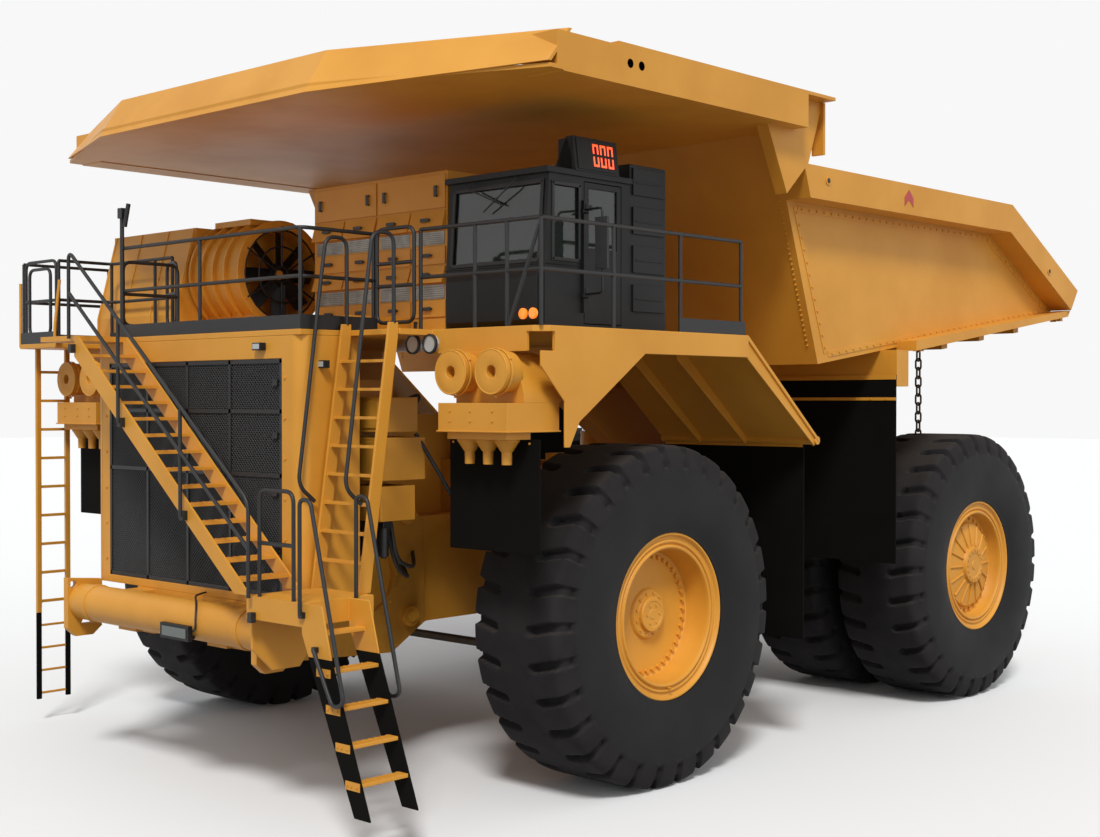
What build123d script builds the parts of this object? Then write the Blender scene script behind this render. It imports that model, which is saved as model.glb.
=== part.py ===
from build123d import *
from math import cos, radians, sin
import os

os.makedirs("parts", exist_ok=True)

# Rigid mining dump truck, in millimetres.  The front faces -Y, the cab stands on the +X side, +Z is up.
# Every length along the truck is measured from the front axle line, front_y.

# ---------------------------------------------------------------- driving sizes
wheelbase = 7150
nose_reach = 4290            # front axle line to the front of the stair rail
tail_reach = 9850            # front axle line to the tip of the body's tail
front_y = -(tail_reach - nose_reach) / 2

run_gap = 0.3                # running clearance of pins, shafts and pads
swing_gap = 10               # clearance of anything that swings past something else

# wheels
tyre_radius = 1890
tread_half = 560
tyre_half = 675
tyre_sides = 36
rim_radius = 925
rim_half = 585
rim_wall = 55
front_track_x = 3425         # centre of a front tyre
dual_outer_x = 3385          # centre of an outer rear tyre
dual_inner_x = 1825          # centre of an inner rear tyre
axle_z = tyre_radius

# steering
kingpin_x = 2450
strut_rod_r = 150
strut_r = 230
spindle_r = 190
sleeve_low, sleeve_high = 1500, 2500
arm_low = 1420
tie_arm = 600
tie_z = 1150
steer_z = 1340
anchor_x, anchor_y = 1400, 900
steer_arm, steer_arm_deg = 420, 255
arm_pin_r = 45

# frame
rail_in, rail_out = 700, 1050
rail_low, rail_high = 1650, 2900
frame_front = -3500
tower_half = 350             # half the depth of the beam that carries a front strut
tower_low, tower_high = 2950, 3550
tower_reach = 2150
pivot_y, pivot_z = 8350, 3200
pivot_r = 120
pad_z = 3600                 # top of the raised rear rails, where the body rests

# hoists
hoist_x, hoist_y = 1350, 4800
hoist_low_z, hoist_high_z = 2100, 4100
hoist_pin_r = 80
barrel_r, stage_r, hoist_rod_r = 190, 160, 125

# deck and radiator guard
deck_z = 5000
deck_thick = 60
deck_half = 4350
deck_rear, deck_front = 1000, -2420
edge_deep = 250
guard_half = 1970
guard_front, guard_rear = -3490, -2700
guard_low = 2120
guard_skin = 25
grille_half = 1660
grille_low, grille_high = 2210, 4700

# rails and ladders
pipe_r = 22

# dump body
body_half = 3900
plate = 35
rail_half = 4250             # outside of the top rail
canopy_half = 4450
canopy_kink = 1960

sides = (("left", 1), ("right", -1))


def prism(points, start, end, mode=Mode.ADD):
    """Extrudes a (y, z) outline between two x planes; y runs from the front axle line."""
    with BuildSketch(Plane.YZ.offset(min(start, end))) as outline:
        Polygon(*[(front_y + y, z) for y, z in points], align=None)
    extrude(outline.sketch, amount=abs(end - start), mode=mode)


def upright(points, start, end, mode=Mode.ADD):
    """Extrudes an (x, z) outline between two y planes; y runs from the front axle line."""
    with BuildSketch(Plane.XZ.offset(-(front_y + max(start, end)))) as outline:
        Polygon(*points, align=None)
    extrude(outline.sketch, amount=abs(end - start), mode=mode)


def slab(points, low, high, mode=Mode.ADD):
    """Extrudes an (x, y) outline between two heights; y runs from the front axle line."""
    with BuildSketch(Plane.XY.offset(low)) as outline:
        Polygon(*[(x, front_y + y) for x, y in points], align=None)
    extrude(outline.sketch, amount=high - low, mode=mode)


def block(x0, x1, y0, y1, z0, z1, mode=Mode.ADD):
    """A box between two corners; y runs from the front axle line."""
    with Locations(((x0 + x1) / 2, front_y + (y0 + y1) / 2, (z0 + z1) / 2)):
        Box(abs(x1 - x0), abs(y1 - y0), abs(z1 - z0), mode=mode)


def turned(sections, count, y, z, mode=Mode.ADD):
    """A many-sided turned form about an X axis: sections are (x, half the width across flats)."""
    for pair in zip(sections, sections[1:]):
        faces = []
        for x, flat_r in pair:
            with BuildSketch(Plane.YZ.offset(x)) as ring:
                with Locations((front_y + y, z)):
                    RegularPolygon(flat_r, count, major_radius=False, rotation=180 / count)
            faces.append(ring.sketch.face())
        if pair[0][1] == pair[1][1]:
            extrude(faces[0], amount=pair[1][0] - pair[0][0], mode=mode)
        else:
            loft(faces, ruled=True, mode=mode)


def bar(start, end, radius, count=0, mode=Mode.ADD):
    """A bar between two points; round, or many-sided where count says so."""
    a = Vector(*start) + Vector(0, front_y, 0)
    b = Vector(*end) + Vector(0, front_y, 0)
    with BuildSketch(Plane(origin=a, z_dir=b - a)) as ring:
        if count:
            RegularPolygon(radius, count)
        else:
            Circle(radius)
    extrude(ring.sketch, amount=(b - a).length, mode=mode)


def pipe(*points, radius=pipe_r):
    """A pipe rail: six-sided runs through the points, each run past its ends by half a radius."""
    for start, end in zip(points, points[1:]):
        run = Vector(*end) - Vector(*start)
        over = run.normalized() * radius * 0.5
        bar((Vector(*start) - over), (Vector(*end) + over), radius, 6)


# ---------------------------------------------------------------- main frame
rail_outline = [(frame_front, 1600), (-1500, 1500), (-900, rail_low), (5000, rail_low), (5600, 2620),
                (8000, 2620), (8300, 2850), (8650, 2950), (8650, 3400), (8300, pad_z),
                (5000, pad_z), (4300, rail_high), (-1500, rail_high), (-2650, guard_low),
                (frame_front, guard_low)]

with BuildPart() as main_frame:
    for side, s in sides:
        prism(rail_outline, s * rail_in, s * rail_out)
        block(s * rail_in, s * tower_reach, -tower_half, tower_half, tower_low, tower_high)
        block(s * rail_in, s * rail_out, -tower_half, tower_half, rail_high - 100, tower_low)
        block(s * rail_out, s * (anchor_x + 90), anchor_y - 130, anchor_y + 130,
              steer_z + 110, rail_low + 150)
        bar((s * anchor_x, anchor_y, steer_z - 60), (s * anchor_x, anchor_y, steer_z + 110), 50)
        bar((s * rail_in, hoist_y, hoist_low_z), (s * (hoist_x + 110), hoist_y, hoist_low_z), hoist_pin_r)
    block(-rail_in, rail_in, frame_front, frame_front + 350, 1700, guard_low)
    block(-rail_in, rail_in, 4300, 4600, 1900, 2700)
    block(-rail_in, rail_in, 5700, 6100, 2800, 3400)
    block(-rail_in, rail_in, 7750, 8050, 3000, 3400)
    bar((-rail_in, 1500, 2100), (rail_in, 1500, 2100), 280, 16)
    bar((-rail_out, pivot_y, pivot_z), (rail_out, pivot_y, pivot_z), pivot_r)
main_frame.part.label = "main_frame"
export_step(main_frame.part, "parts/main_frame.step")

# ---------------------------------------------------------------- front bumper
bumper_y, bumper_z, bumper_r = -3750, 1900, 205
bumper_ends = (-1890, 2020)
hook_x, hook_thick, hook_bore_r = 1830, 90, 45
hook_eye = (-3895, 2112)     # y and z of the hole for a shackle's pin
hook_outline = [(-3970, 2190), (-3520, 2150), (-3520, 1750), (-3760, 1720), (-3800, 1640), (-3640, 1640),
                (-3560, 1700), (-3520, 1600), (-3640, 1500), (-3860, 1500), (-3970, 1600)]

with BuildPart() as front_bumper:
    turned([(bumper_ends[0], bumper_r), (bumper_ends[1], bumper_r)], 16, bumper_y, bumper_z)
    for side, s in sides:
        block(s * rail_in, s * rail_out, bumper_y, frame_front, 1650, guard_low - 20)
        prism(hook_outline, s * hook_x - hook_thick / 2, s * hook_x + hook_thick / 2)
        bar((s * hook_x - hook_thick / 2, *hook_eye), (s * hook_x + hook_thick / 2, *hook_eye),
            hook_bore_r, mode=Mode.SUBTRACT)
front_bumper.part.label = "front_bumper"
export_step(front_bumper.part, "parts/front_bumper.step")

# ---------------------------------------------------------------- landing and boarding ladder
landing_x = (bumper_ends[1], 2900)
landing_y = (-4200, -3300)
landing_z, landing_skirt = 2340, 230
cheek_y = (-4200, -3620)     # near faces of the two cheeks
cheek = 20
sheet_top_z, sheet_low_z = 1840, 430
step_x, step_run, step_rise = 3280, 140, 330
step_deep, step_thick = 130, 36
ladder_x = -4300
ladder_y = (-2960, -2540)
strap_top, strap_low = 1450, 300

with BuildPart() as landing:
    block(*landing_x, *landing_y, landing_z - landing_skirt, landing_z)
    block(landing_x[0] + 12, landing_x[1] - 12, landing_y[0] + 12, landing_y[1] - 12,
          landing_z - landing_skirt, landing_z - 12, mode=Mode.SUBTRACT)
    prism([(-4150, 2110), (-3450, 2110), (-3450, 1700), (-3560, 1560), (-3900, 1560), (-4150, 1800)],
          landing_x[0], landing_x[0] + 30)
    for y in cheek_y:
        upright([(landing_x[1], landing_z), (3200, landing_z), (3340, sheet_top_z),
                 (3000, sheet_top_z), (landing_x[1], 2050)], y, y + cheek)
    block(step_x - step_run - step_deep, step_x - step_run, cheek_y[0] + cheek, cheek_y[1],
          step_rise + 1710, step_rise + 1710 + step_thick)
landing.part.label = "landing"
export_step(landing.part, "parts/landing.step")

with BuildPart() as rubber_sides:
    for y in cheek_y:
        upright([(3000, sheet_top_z), (3340, sheet_top_z), (3890, sheet_low_z), (3670, sheet_low_z)],
                y, y + cheek)
    for y in ladder_y:
        block(ladder_x - 15, ladder_x + 15, y - 35, y + 35, strap_low, strap_top)
rubber_sides.part.label = "rubber_sides"
export_step(rubber_sides.part, "parts/rubber_sides.step")

with BuildPart() as hanging_steps:
    for n in range(4):
        x, z = step_x + n * step_run, 1750 - n * step_rise
        block(x - step_deep / 2, x + step_deep / 2, cheek_y[0] + cheek, cheek_y[1], z - step_thick, z)
    for n in range(4):
        z = strap_top - 170 - n * 300
        block(ladder_x - 15, ladder_x + 15, ladder_y[0] + 35, ladder_y[1] - 35, z - 15, z + 15)
hanging_steps.part.label = "hanging_steps"
export_step(hanging_steps.part, "parts/hanging_steps.step")

# ---------------------------------------------------------------- engine, radiator and guard
with BuildPart() as engine_block:
    block(-rail_in, rail_in, -2500, 1000, 2450, 4100)
engine_block.part.label = "engine_block"
export_step(engine_block.part, "parts/engine_block.step")

with BuildPart() as radiator:
    block(-grille_half, grille_half, -3250, guard_rear, guard_low + guard_skin, grille_high)
radiator.part.label = "radiator"
export_step(radiator.part, "parts/radiator.step")

guard_high = deck_z - deck_thick
corner = 150
guard_outline = [(-guard_half, guard_rear), (-guard_half, guard_front + corner),
                 (-guard_half + corner, guard_front), (guard_half - corner, guard_front),
                 (guard_half, guard_front + corner), (guard_half, guard_rear)]
with BuildPart() as radiator_guard:
    slab(guard_outline, guard_low, guard_high)
    block(-guard_half + guard_skin, guard_half - guard_skin, guard_front + corner + guard_skin, guard_rear,
          guard_low + guard_skin, guard_high - guard_skin, mode=Mode.SUBTRACT)
    block(-grille_half - 20, grille_half + 20, guard_front + guard_skin, guard_rear,
          guard_low + guard_skin, guard_high - guard_skin, mode=Mode.SUBTRACT)
    block(-grille_half, grille_half, guard_front, guard_front + guard_skin, grille_low, grille_high,
          mode=Mode.SUBTRACT)
radiator_guard.part.label = "radiator_guard"
export_step(radiator_guard.part, "parts/radiator_guard.step")

with BuildPart() as grille:
    block(-grille_half - 20, grille_half + 20, guard_front + guard_skin, guard_front + guard_skin + 30,
          grille_low - 20, grille_high + 20)
grille.part.label = "grille"
export_step(grille.part, "parts/grille.step")

# ---------------------------------------------------------------- deck and fenders
deck_outline = [(deck_half, deck_rear), (deck_half, deck_front + 120), (deck_half - 120, deck_front),
                (2800, deck_front), (2800, -2870), (guard_half, -2870), (guard_half, guard_front),
                (-guard_half, guard_front), (-guard_half, deck_front), (-3450, deck_front),
                (-3450, -3190), (-deck_half, -3190), (-deck_half, deck_rear)]
fender_in = guard_half
fender_low_y, fender_low_z = 2440, 3760
edge_thick = 40

with BuildPart() as deck:
    slab(deck_outline, deck_z - deck_thick, deck_z)
    for side, s in sides:
        block(s * (deck_half - edge_thick), s * deck_half, deck_front + 200, deck_rear,
              deck_z - edge_deep, deck_z - deck_thick)
        block(s * 2800, s * (deck_half - 200), deck_front, deck_front + edge_thick,
              deck_z - edge_deep, deck_z - deck_thick)
        block(s * 1200, s * 1500, -tower_half, tower_half, tower_high, deck_z - deck_thick)
        prism([(deck_rear, deck_z), (fender_low_y, fender_low_z + 50), (fender_low_y, fender_low_z),
               (deck_rear, deck_z - deck_thick)], s * fender_in, s * deck_half)
        prism([(deck_front, 4750), (-830, 4750), (-1860, 4050), (-2000, 3800), (-2080, 3800),
               (-2080, 4250), (deck_front, 4600)], s * (deck_half - 20), s * deck_half)
deck.part.label = "deck"
export_step(deck.part, "parts/deck.step")

with BuildPart() as mud_flaps:
    for side, s in sides:
        block(s * fender_in, s * 4130, fender_low_y, fender_low_y + 20, 1370, fender_low_z + 45)
        block(s * 3000, s * 4270, -2360, -2340, 2750, 3880)
mud_flaps.part.label = "mud_flaps"
export_step(mud_flaps.part, "parts/mud_flaps.step")

# ---------------------------------------------------------------- air cleaners
can_r, can_pitch, can_x = 232, 570, 3690
can_face, can_z, can_deep = -2740, 4545, 240
box_low = 3960

with BuildPart() as air_cleaners:
    for side, s in sides:
        for n in (-1, 1):
            x = s * can_x + n * can_pitch / 2
            bar((x, can_face, can_z), (x, can_face + can_deep, can_z), can_r, 20)
            bar((x, can_face, can_z), (x, can_face + 120, can_z), 60, 8, mode=Mode.SUBTRACT)
        block(s * 3240, s * 4200, can_face + can_deep, -1980, 4240, deck_z - edge_deep)
        block(s * 3230, s * 4200, can_face, -2000, box_low, 4240)
        block(s * 3300, s * 4130, can_face + 60, -2340, 3880, box_low)
        for n in range(3):
            x = s * (3450 + n * 260)
            bar((x, -2600, 3880), (x, -2600, 3720), 100, 8)
            bar((x, -2600, 3720), (x, -2600, 3480), 28, 6)
air_cleaners.part.label = "air_cleaners"
export_step(air_cleaners.part, "parts/air_cleaners.step")

# ---------------------------------------------------------------- front struts and steering
with BuildPart() as front_struts:
    for side, s in sides:
        x = s * kingpin_x
        bar((x, 0, sleeve_high + 60), (x, 0, 3650), strut_r, 20)
        block(s * tower_reach, s * kingpin_x, -200, 200, tower_low, tower_high - 50)
        bar((x, 0, sleeve_low + 10), (x, 0, sleeve_high + 60), strut_rod_r)
front_struts.part.label = "front_struts"
export_step(front_struts.part, "parts/front_struts.step")

front_hub_x = 240            # a front wheel's centre to the outer face of its disc
steer_pin = (steer_arm * cos(radians(steer_arm_deg)), steer_arm * sin(radians(steer_arm_deg)))

for side, s in sides:
    with BuildPart() as knuckle:
        x = s * kingpin_x
        pin_x, pin_y = x + s * steer_pin[0], steer_pin[1]
        bar((x, 0, arm_low), (x, 0, sleeve_high), 210, 20)
        bar((x, 0, axle_z), (s * (front_track_x + front_hub_x), 0, axle_z), spindle_r)
        bar((x, 0, arm_low), (x, 0, sleeve_low), 120, 8)
        block(x - 80, x + 80, 0, tie_arm + 70, arm_low, sleeve_low)
        with Locations(Location((x + s * steer_pin[0] / 2, front_y + steer_pin[1] / 2,
                                 (arm_low + sleeve_low) / 2), (0, 0, s * (steer_arm_deg - 180)))):
            Box(steer_arm + 140, 150, sleeve_low - arm_low)
        bar((x, tie_arm, tie_z - 70), (x, tie_arm, arm_low), arm_pin_r)
        bar((x, 0, sleeve_low), (x, 0, sleeve_high), strut_rod_r + run_gap, mode=Mode.SUBTRACT)
    knuckle.part.label = f"knuckle_{side}"
    export_step(knuckle.part, f"parts/knuckle_{side}.step")

with BuildPart() as tie_rod:
    bar((-kingpin_x, tie_arm, tie_z), (kingpin_x, tie_arm, tie_z), 55, 12)
    for side, s in sides:
        bar((s * kingpin_x, tie_arm, tie_z - 50), (s * kingpin_x, tie_arm, tie_z + 50), 90, 12)
    for side, s in sides:
        bar((s * kingpin_x, tie_arm, tie_z - 70), (s * kingpin_x, tie_arm, tie_z + 70),
            arm_pin_r + run_gap, mode=Mode.SUBTRACT)
tie_rod.part.label = "tie_rod"
export_step(tie_rod.part, "parts/tie_rod.step")

steer_barrel_r, steer_rod_r = 85, 45
steer_barrel_long = 1060
for side, s in sides:
    ax, ay = s * anchor_x, anchor_y
    px, py = s * (kingpin_x + steer_pin[0]), steer_pin[1]
    run = Vector(px - ax, py - ay, 0).normalized()
    a = Vector(ax, ay, steer_z)
    b = Vector(px, py, steer_z)
    with BuildPart() as steer_barrel:
        bar((a + run * 90), (a + run * steer_barrel_long), steer_barrel_r, 16)
        bar((a + run * 130), (a + run * (steer_barrel_long + 10)),
            steer_rod_r + run_gap, mode=Mode.SUBTRACT)
        bar((ax, ay, steer_z - 50), (ax, ay, steer_z + 50), 110, 16)
        bar((ax, ay, steer_z - 60), (ax, ay, steer_z + 60), 50 + run_gap, mode=Mode.SUBTRACT)
    steer_barrel.part.label = f"steer_barrel_{side}"
    export_step(steer_barrel.part, f"parts/steer_barrel_{side}.step")
    with BuildPart() as steer_rod:
        bar((a + run * 340), b, steer_rod_r)
        bar((px, py, steer_z - 50), (px, py, steer_z + 50), 85, 16)
        bar((px, py, steer_z), (px, py, arm_low - swing_gap), 35, 12)
    steer_rod.part.label = f"steer_rod_{side}"
    export_step(steer_rod.part, f"parts/steer_rod_{side}.step")

# ---------------------------------------------------------------- wheels
def tyre(x, y):
    """One tyre: the tread and bulged walls, dished in to the beads, and bored for the rim."""
    turned([(x + dx, r) for dx, r in tyre_profile], tyre_sides, y, axle_z)
    for way in (-1, 1):
        turned([(x + way * bead_half, bead_r), (x + way * tyre_half, 1330)], tyre_sides, y, axle_z,
               mode=Mode.SUBTRACT)
    turned([(x - bead_half, rim_radius), (x + bead_half, rim_radius)], tyre_sides, y, axle_z,
           mode=Mode.SUBTRACT)


tyre_profile = [(-tyre_half, 1330), (-640, 1680), (-tread_half, tyre_radius),
                (tread_half, tyre_radius), (640, 1680), (tyre_half, 1330)]
bead_half, bead_r = rim_half + 15, 1000
rear_hub_x = 3870            # outer face of a rear wheel's disc
rear_shaft_r = 260

for side, s in sides:
    with BuildPart() as front_tyre:
        tyre(s * front_track_x, 0)
    front_tyre.part.label = f"front_tyre_{side}"
    export_step(front_tyre.part, f"parts/front_tyre_{side}.step")

    with BuildPart() as front_rim:
        x = s * front_track_x
        turned([(x - rim_half, rim_radius), (x + rim_half, rim_radius)], tyre_sides, 0, axle_z)
        turned([(x + s * front_hub_x, 760), (x + s * rim_half, rim_radius - rim_wall)],
               tyre_sides, 0, axle_z, mode=Mode.SUBTRACT)
        turned([(x - s * rim_half, rim_radius - rim_wall), (x + s * (front_hub_x - 60), 800)],
               tyre_sides, 0, axle_z, mode=Mode.SUBTRACT)
        turned([(x - s * 380, 360), (x + s * (front_hub_x - 60), 360)], 24, 0, axle_z)
        turned([(x + s * front_hub_x, 330), (x + s * (front_hub_x + 110), 250)], 24, 0, axle_z)
        bar((x - s * 380, 0, axle_z), (x + s * front_hub_x, 0, axle_z), spindle_r + run_gap,
            mode=Mode.SUBTRACT)
    front_rim.part.label = f"front_rim_{side}"
    export_step(front_rim.part, f"parts/front_rim_{side}.step")

    with BuildPart() as rear_tyres:
        for centre in (dual_inner_x, dual_outer_x):
            tyre(s * centre, wheelbase)
    rear_tyres.part.label = f"rear_tyres_{side}"
    export_step(rear_tyres.part, f"parts/rear_tyres_{side}.step")

    with BuildPart() as rear_rims:
        near, far = s * (dual_inner_x - rim_half), s * (dual_outer_x + rim_half)
        turned([(near, rim_radius), (far, rim_radius)], tyre_sides, wheelbase, axle_z)
        turned([(s * rear_hub_x, 790), (far, rim_radius - rim_wall)], tyre_sides, wheelbase, axle_z,
               mode=Mode.SUBTRACT)
        turned([(near, rim_radius - rim_wall), (s * (rear_hub_x - 80), rim_radius - rim_wall)],
               tyre_sides, wheelbase, axle_z, mode=Mode.SUBTRACT)
        turned([(s * (rear_hub_x - 330), 420), (s * (rear_hub_x - 80), 420)], 24, wheelbase, axle_z)
        turned([(s * rear_hub_x, 300), (s * (rear_hub_x + 60), 280)], 24, wheelbase, axle_z)
        bar((s * (rear_hub_x - 330), wheelbase, axle_z), (s * (rear_hub_x - 40), wheelbase, axle_z),
            rear_shaft_r + run_gap, mode=Mode.SUBTRACT)
    rear_rims.part.label = f"rear_rims_{side}"
    export_step(rear_rims.part, f"parts/rear_rims_{side}.step")

# ---------------------------------------------------------------- rear axle and its struts
with BuildPart() as rear_axle:
    turned([(-1100, 560), (1100, 560)], 24, wheelbase, axle_z)
    for side, s in sides:
        turned([(s * 1100, 640), (s * 3500, 640)], 24, wheelbase, axle_z)
        bar((s * 3500, wheelbase, axle_z), (s * (rear_hub_x - 60), wheelbase, axle_z), rear_shaft_r)
        block(s * 330, s * 670, wheelbase + 300, wheelbase + 900, 1750, 2150)
    prism([(4600, 2050), (wheelbase - 300, 1700), (wheelbase - 300, 2150), (4600, 2450)], -300, 300)
rear_axle.part.label = "rear_axle"
export_step(rear_axle.part, "parts/rear_axle.step")

with BuildPart() as rear_struts:
    for side, s in sides:
        bar((s * 500, 7900, 2150), (s * 500, 7900, 2500), 95, 16)
        bar((s * 500, 7900, 2500), (s * 500, 7900, 3000), 140, 16)
rear_struts.part.label = "rear_struts"
export_step(rear_struts.part, "parts/rear_struts.step")

# ---------------------------------------------------------------- dump body
floor_front, floor_tail, tail_tip = (3100, 4720), (9620, 5600), (tail_reach, 5970)
wall_lean = (2000 - 3100) / (7850 - 4720)


def wall_y(z):
    return floor_front[0] + (z - floor_front[1]) * wall_lean


rail_z = (6700, 7100)
fascia = [(0, 0), (45, 0), (345, 480), (300, 480)]

with BuildPart() as dump_body:
    prism([floor_front, floor_tail, (floor_tail[0], floor_tail[1] + 45), (3100, 4765)],
          -body_half, body_half)
    prism([floor_front, (3145, 4725), (wall_y(7850) + 45, 7850), (wall_y(7850), 7850)],
          -body_half, body_half)
    for side, s in sides:
        prism([floor_front, floor_tail, tail_tip, (7650, rail_z[1]), (wall_y(rail_z[1]), rail_z[1])],
              s * (body_half - plate), s * body_half)
        prism([(wall_y(6700), 6700), (7600, 6700), (9620, 5660), tail_tip, (7650, 7100),
               (wall_y(7100), 7100)], s * body_half, s * rail_half)
        prism([(1500, 7480), (1900, 6700), (2350, 7100), (2650, 7860), (2100, 7860)],
              s * (rail_half - 160), s * rail_half)
        prism([(-2300, 7520), (-2300, 7860), (2050, 7860), (2050, 7470), (-2200, 7470)],
              s * 3980, s * canopy_half)
        block(s * 4200, s * canopy_half, -1380, 2630, 7860, 7900)
        prism([(5000, 4925), (9620, 5560), (9700, 5660), (5000, 5060)], s * body_half, s * 4200)
        prism([(3200, 4500), (4600, pad_z + run_gap), (9300, pad_z + run_gap), (9500, 4200),
               (9500, 5590), (3200, 4740)], s * rail_in, s * rail_out)
        block(s * 560, s * 690, 8160, 8540, pivot_z, 3700)
        block(s * 1490, s * 1540, 4700, 4900, 4000, 4930)
    block(-rail_in, rail_in, 8100, 8600, 3650, 4050)
    block(-4140, 4140, 4600, 4900, 4450, 4930)
    slab([(-canopy_half, -2400), (-canopy_kink, -3390), (canopy_kink, -3390), (canopy_half, -2400),
          (canopy_half, 0), (4000, wall_y(7480)), (-4000, wall_y(7480)), (-canopy_half, 0)], 7480, 7520)
    prism([(-3430 + y, 7420 + z) for y, z in fascia], -canopy_kink, canopy_kink)
    for side, s in sides:
        ends = []
        for x, y0, z0, tall in ((canopy_kink, -3430, 7420, 480), (canopy_half, -2430, 7540, 360)):
            with BuildSketch(Plane.YZ.offset(s * x)) as section:
                Polygon(*[(front_y + y0 + y, z0 + z * tall / 480) for y, z in fascia], align=None)
            ends.append(section.sketch.face())
        loft(ends, ruled=True)
    for side, s in sides:
        bar((s * 560, pivot_y, pivot_z), (s * 690, pivot_y, pivot_z), 210, 20)
    for side, s in sides:
        bar((s * 560, pivot_y, pivot_z), (s * 690, pivot_y, pivot_z), pivot_r + run_gap,
            mode=Mode.SUBTRACT)
dump_body.part.label = "dump_body"
export_step(dump_body.part, "parts/dump_body.step")

with BuildPart() as body_flaps:
    for side, s in sides:
        block(s * 1600, s * 4140, 4580, 4600, 2120, 4600)
body_flaps.part.label = "body_flaps"
export_step(body_flaps.part, "parts/body_flaps.step")

# ---------------------------------------------------------------- hoists
for side, s in sides:
    x = s * hoist_x
    with BuildPart() as hoist_barrel:
        bar((x, hoist_y, hoist_low_z + 60), (x, hoist_y, 3790), barrel_r, 20)
        bar((x, hoist_y, hoist_low_z + 190), (x, hoist_y, 3800), stage_r + run_gap, mode=Mode.SUBTRACT)
        bar((x - 80, hoist_y, hoist_low_z), (x + 80, hoist_y, hoist_low_z), 160, 20)
        bar((x - 200, hoist_y, hoist_low_z), (x + 200, hoist_y, hoist_low_z), hoist_pin_r + run_gap,
            mode=Mode.SUBTRACT)
    hoist_barrel.part.label = f"hoist_barrel_{side}"
    export_step(hoist_barrel.part, f"parts/hoist_barrel_{side}.step")
    with BuildPart() as hoist_stage:
        bar((x, hoist_y, hoist_low_z + 200), (x, hoist_y, 3870), stage_r)
        bar((x, hoist_y, hoist_low_z + 240), (x, hoist_y, 3880), hoist_rod_r + run_gap,
            mode=Mode.SUBTRACT)
    hoist_stage.part.label = f"hoist_stage_{side}"
    export_step(hoist_stage.part, f"parts/hoist_stage_{side}.step")
    with BuildPart() as hoist_rod:
        bar((x, hoist_y, hoist_low_z + 250), (x, hoist_y, hoist_high_z - 110), hoist_rod_r)
        block(x - 70, x + 70, hoist_y - 80, hoist_y + 80, hoist_high_z - 110, hoist_high_z)
        bar((x - 70, hoist_y, hoist_high_z), (x + 70, hoist_y, hoist_high_z), 120)
        bar((x + s * 70, hoist_y, hoist_high_z), (x + s * 130, hoist_y, hoist_high_z), 60)
    hoist_rod.part.label = f"hoist_rod_{side}"
    export_step(hoist_rod.part, f"parts/hoist_rod_{side}.step")

# ---------------------------------------------------------------- cab
cab_x = (2100, 3600)
cab_front, cab_rear = -1570, -200
cab_floor, cab_roof = deck_z, 6680
cab_wall = 50
door_y = (-950, -350)
door_z = (5090, 6600)
glass = 12
door_axis = (3625, -955)     # x and y of the door's hinge line
door_hinge_z = (5400, 6300)
hinge_pin_r = 9

with BuildPart() as cab_shell:
    prism([(cab_front, cab_floor), (cab_front, 5700), (cab_front + 70, cab_roof), (cab_rear, cab_roof),
           (cab_rear, cab_floor)], *cab_x)
    prism([(cab_front + cab_wall, cab_floor + 60), (cab_front + cab_wall, 5700),
           (cab_front + 70 + cab_wall, cab_roof - 60), (cab_rear - cab_wall, cab_roof - 60),
           (cab_rear - cab_wall, cab_floor + 60)], cab_x[0] + cab_wall, cab_x[1] - cab_wall,
          mode=Mode.SUBTRACT)
    block(cab_x[0] + 90, cab_x[1] - 90, cab_front - 20, cab_front + 160, 5740, 6560, mode=Mode.SUBTRACT)
    block(cab_x[0], cab_x[0] + cab_wall, -1440, -420, 5760, 6540, mode=Mode.SUBTRACT)
    block(cab_x[1] - cab_wall, cab_x[1], -1440, -1040, 5760, 6540, mode=Mode.SUBTRACT)
    block(cab_x[1] - cab_wall, cab_x[1], door_y[0] - swing_gap, door_y[1] + swing_gap,
          door_z[0] - swing_gap, door_z[1] + swing_gap, mode=Mode.SUBTRACT)
    block(2250, 2950, cab_rear - cab_wall, cab_rear, 5800, 6480, mode=Mode.SUBTRACT)
    for z in door_hinge_z:
        block(cab_x[1], door_axis[0] + 12, door_axis[1] - 60, door_axis[1] + 2, z - 40, z)
        bar((*door_axis, z - 40), (*door_axis, z + 60), hinge_pin_r)
cab_shell.part.label = "cab_shell"
export_step(cab_shell.part, "parts/cab_shell.step")

with BuildPart() as cab_glass:
    lean = 70 / (cab_roof - 5700)
    prism([(cab_front + 20 + lean * 40, 5740), (cab_front + 20 + glass + lean * 40, 5740),
           (cab_front + 20 + glass + lean * 860, 6560), (cab_front + 20 + lean * 860, 6560)],
          cab_x[0] + 90, cab_x[1] - 90)
    block(cab_x[0] + 20, cab_x[0] + 20 + glass, -1440, -420, 5760, 6540)
    block(cab_x[1] - 20 - glass, cab_x[1] - 20, -1440, -1040, 5760, 6540)
    block(2250, 2950, cab_rear - 20 - glass, cab_rear - 20, 5800, 6480)
cab_glass.part.label = "cab_glass"
export_step(cab_glass.part, "parts/cab_glass.step")

with BuildPart() as cab_interior:
    block(2560, 3100, -900, -380, cab_floor + 60, 5420)
    block(2560, 3100, -500, -380, 5420, 6150)
    block(cab_x[0] + cab_wall, cab_x[1] - cab_wall - 100, cab_front + cab_wall, cab_front + 330,
          cab_floor + 60, 5680)
    bar((2830, -1240, 5500), (2830, -1130, 5700), 45, 8)
    bar((2830, -1130, 5700), (2830, -1110, 5730), 220, 16)
cab_interior.part.label = "cab_interior"
export_step(cab_interior.part, "parts/cab_interior.step")

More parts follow.
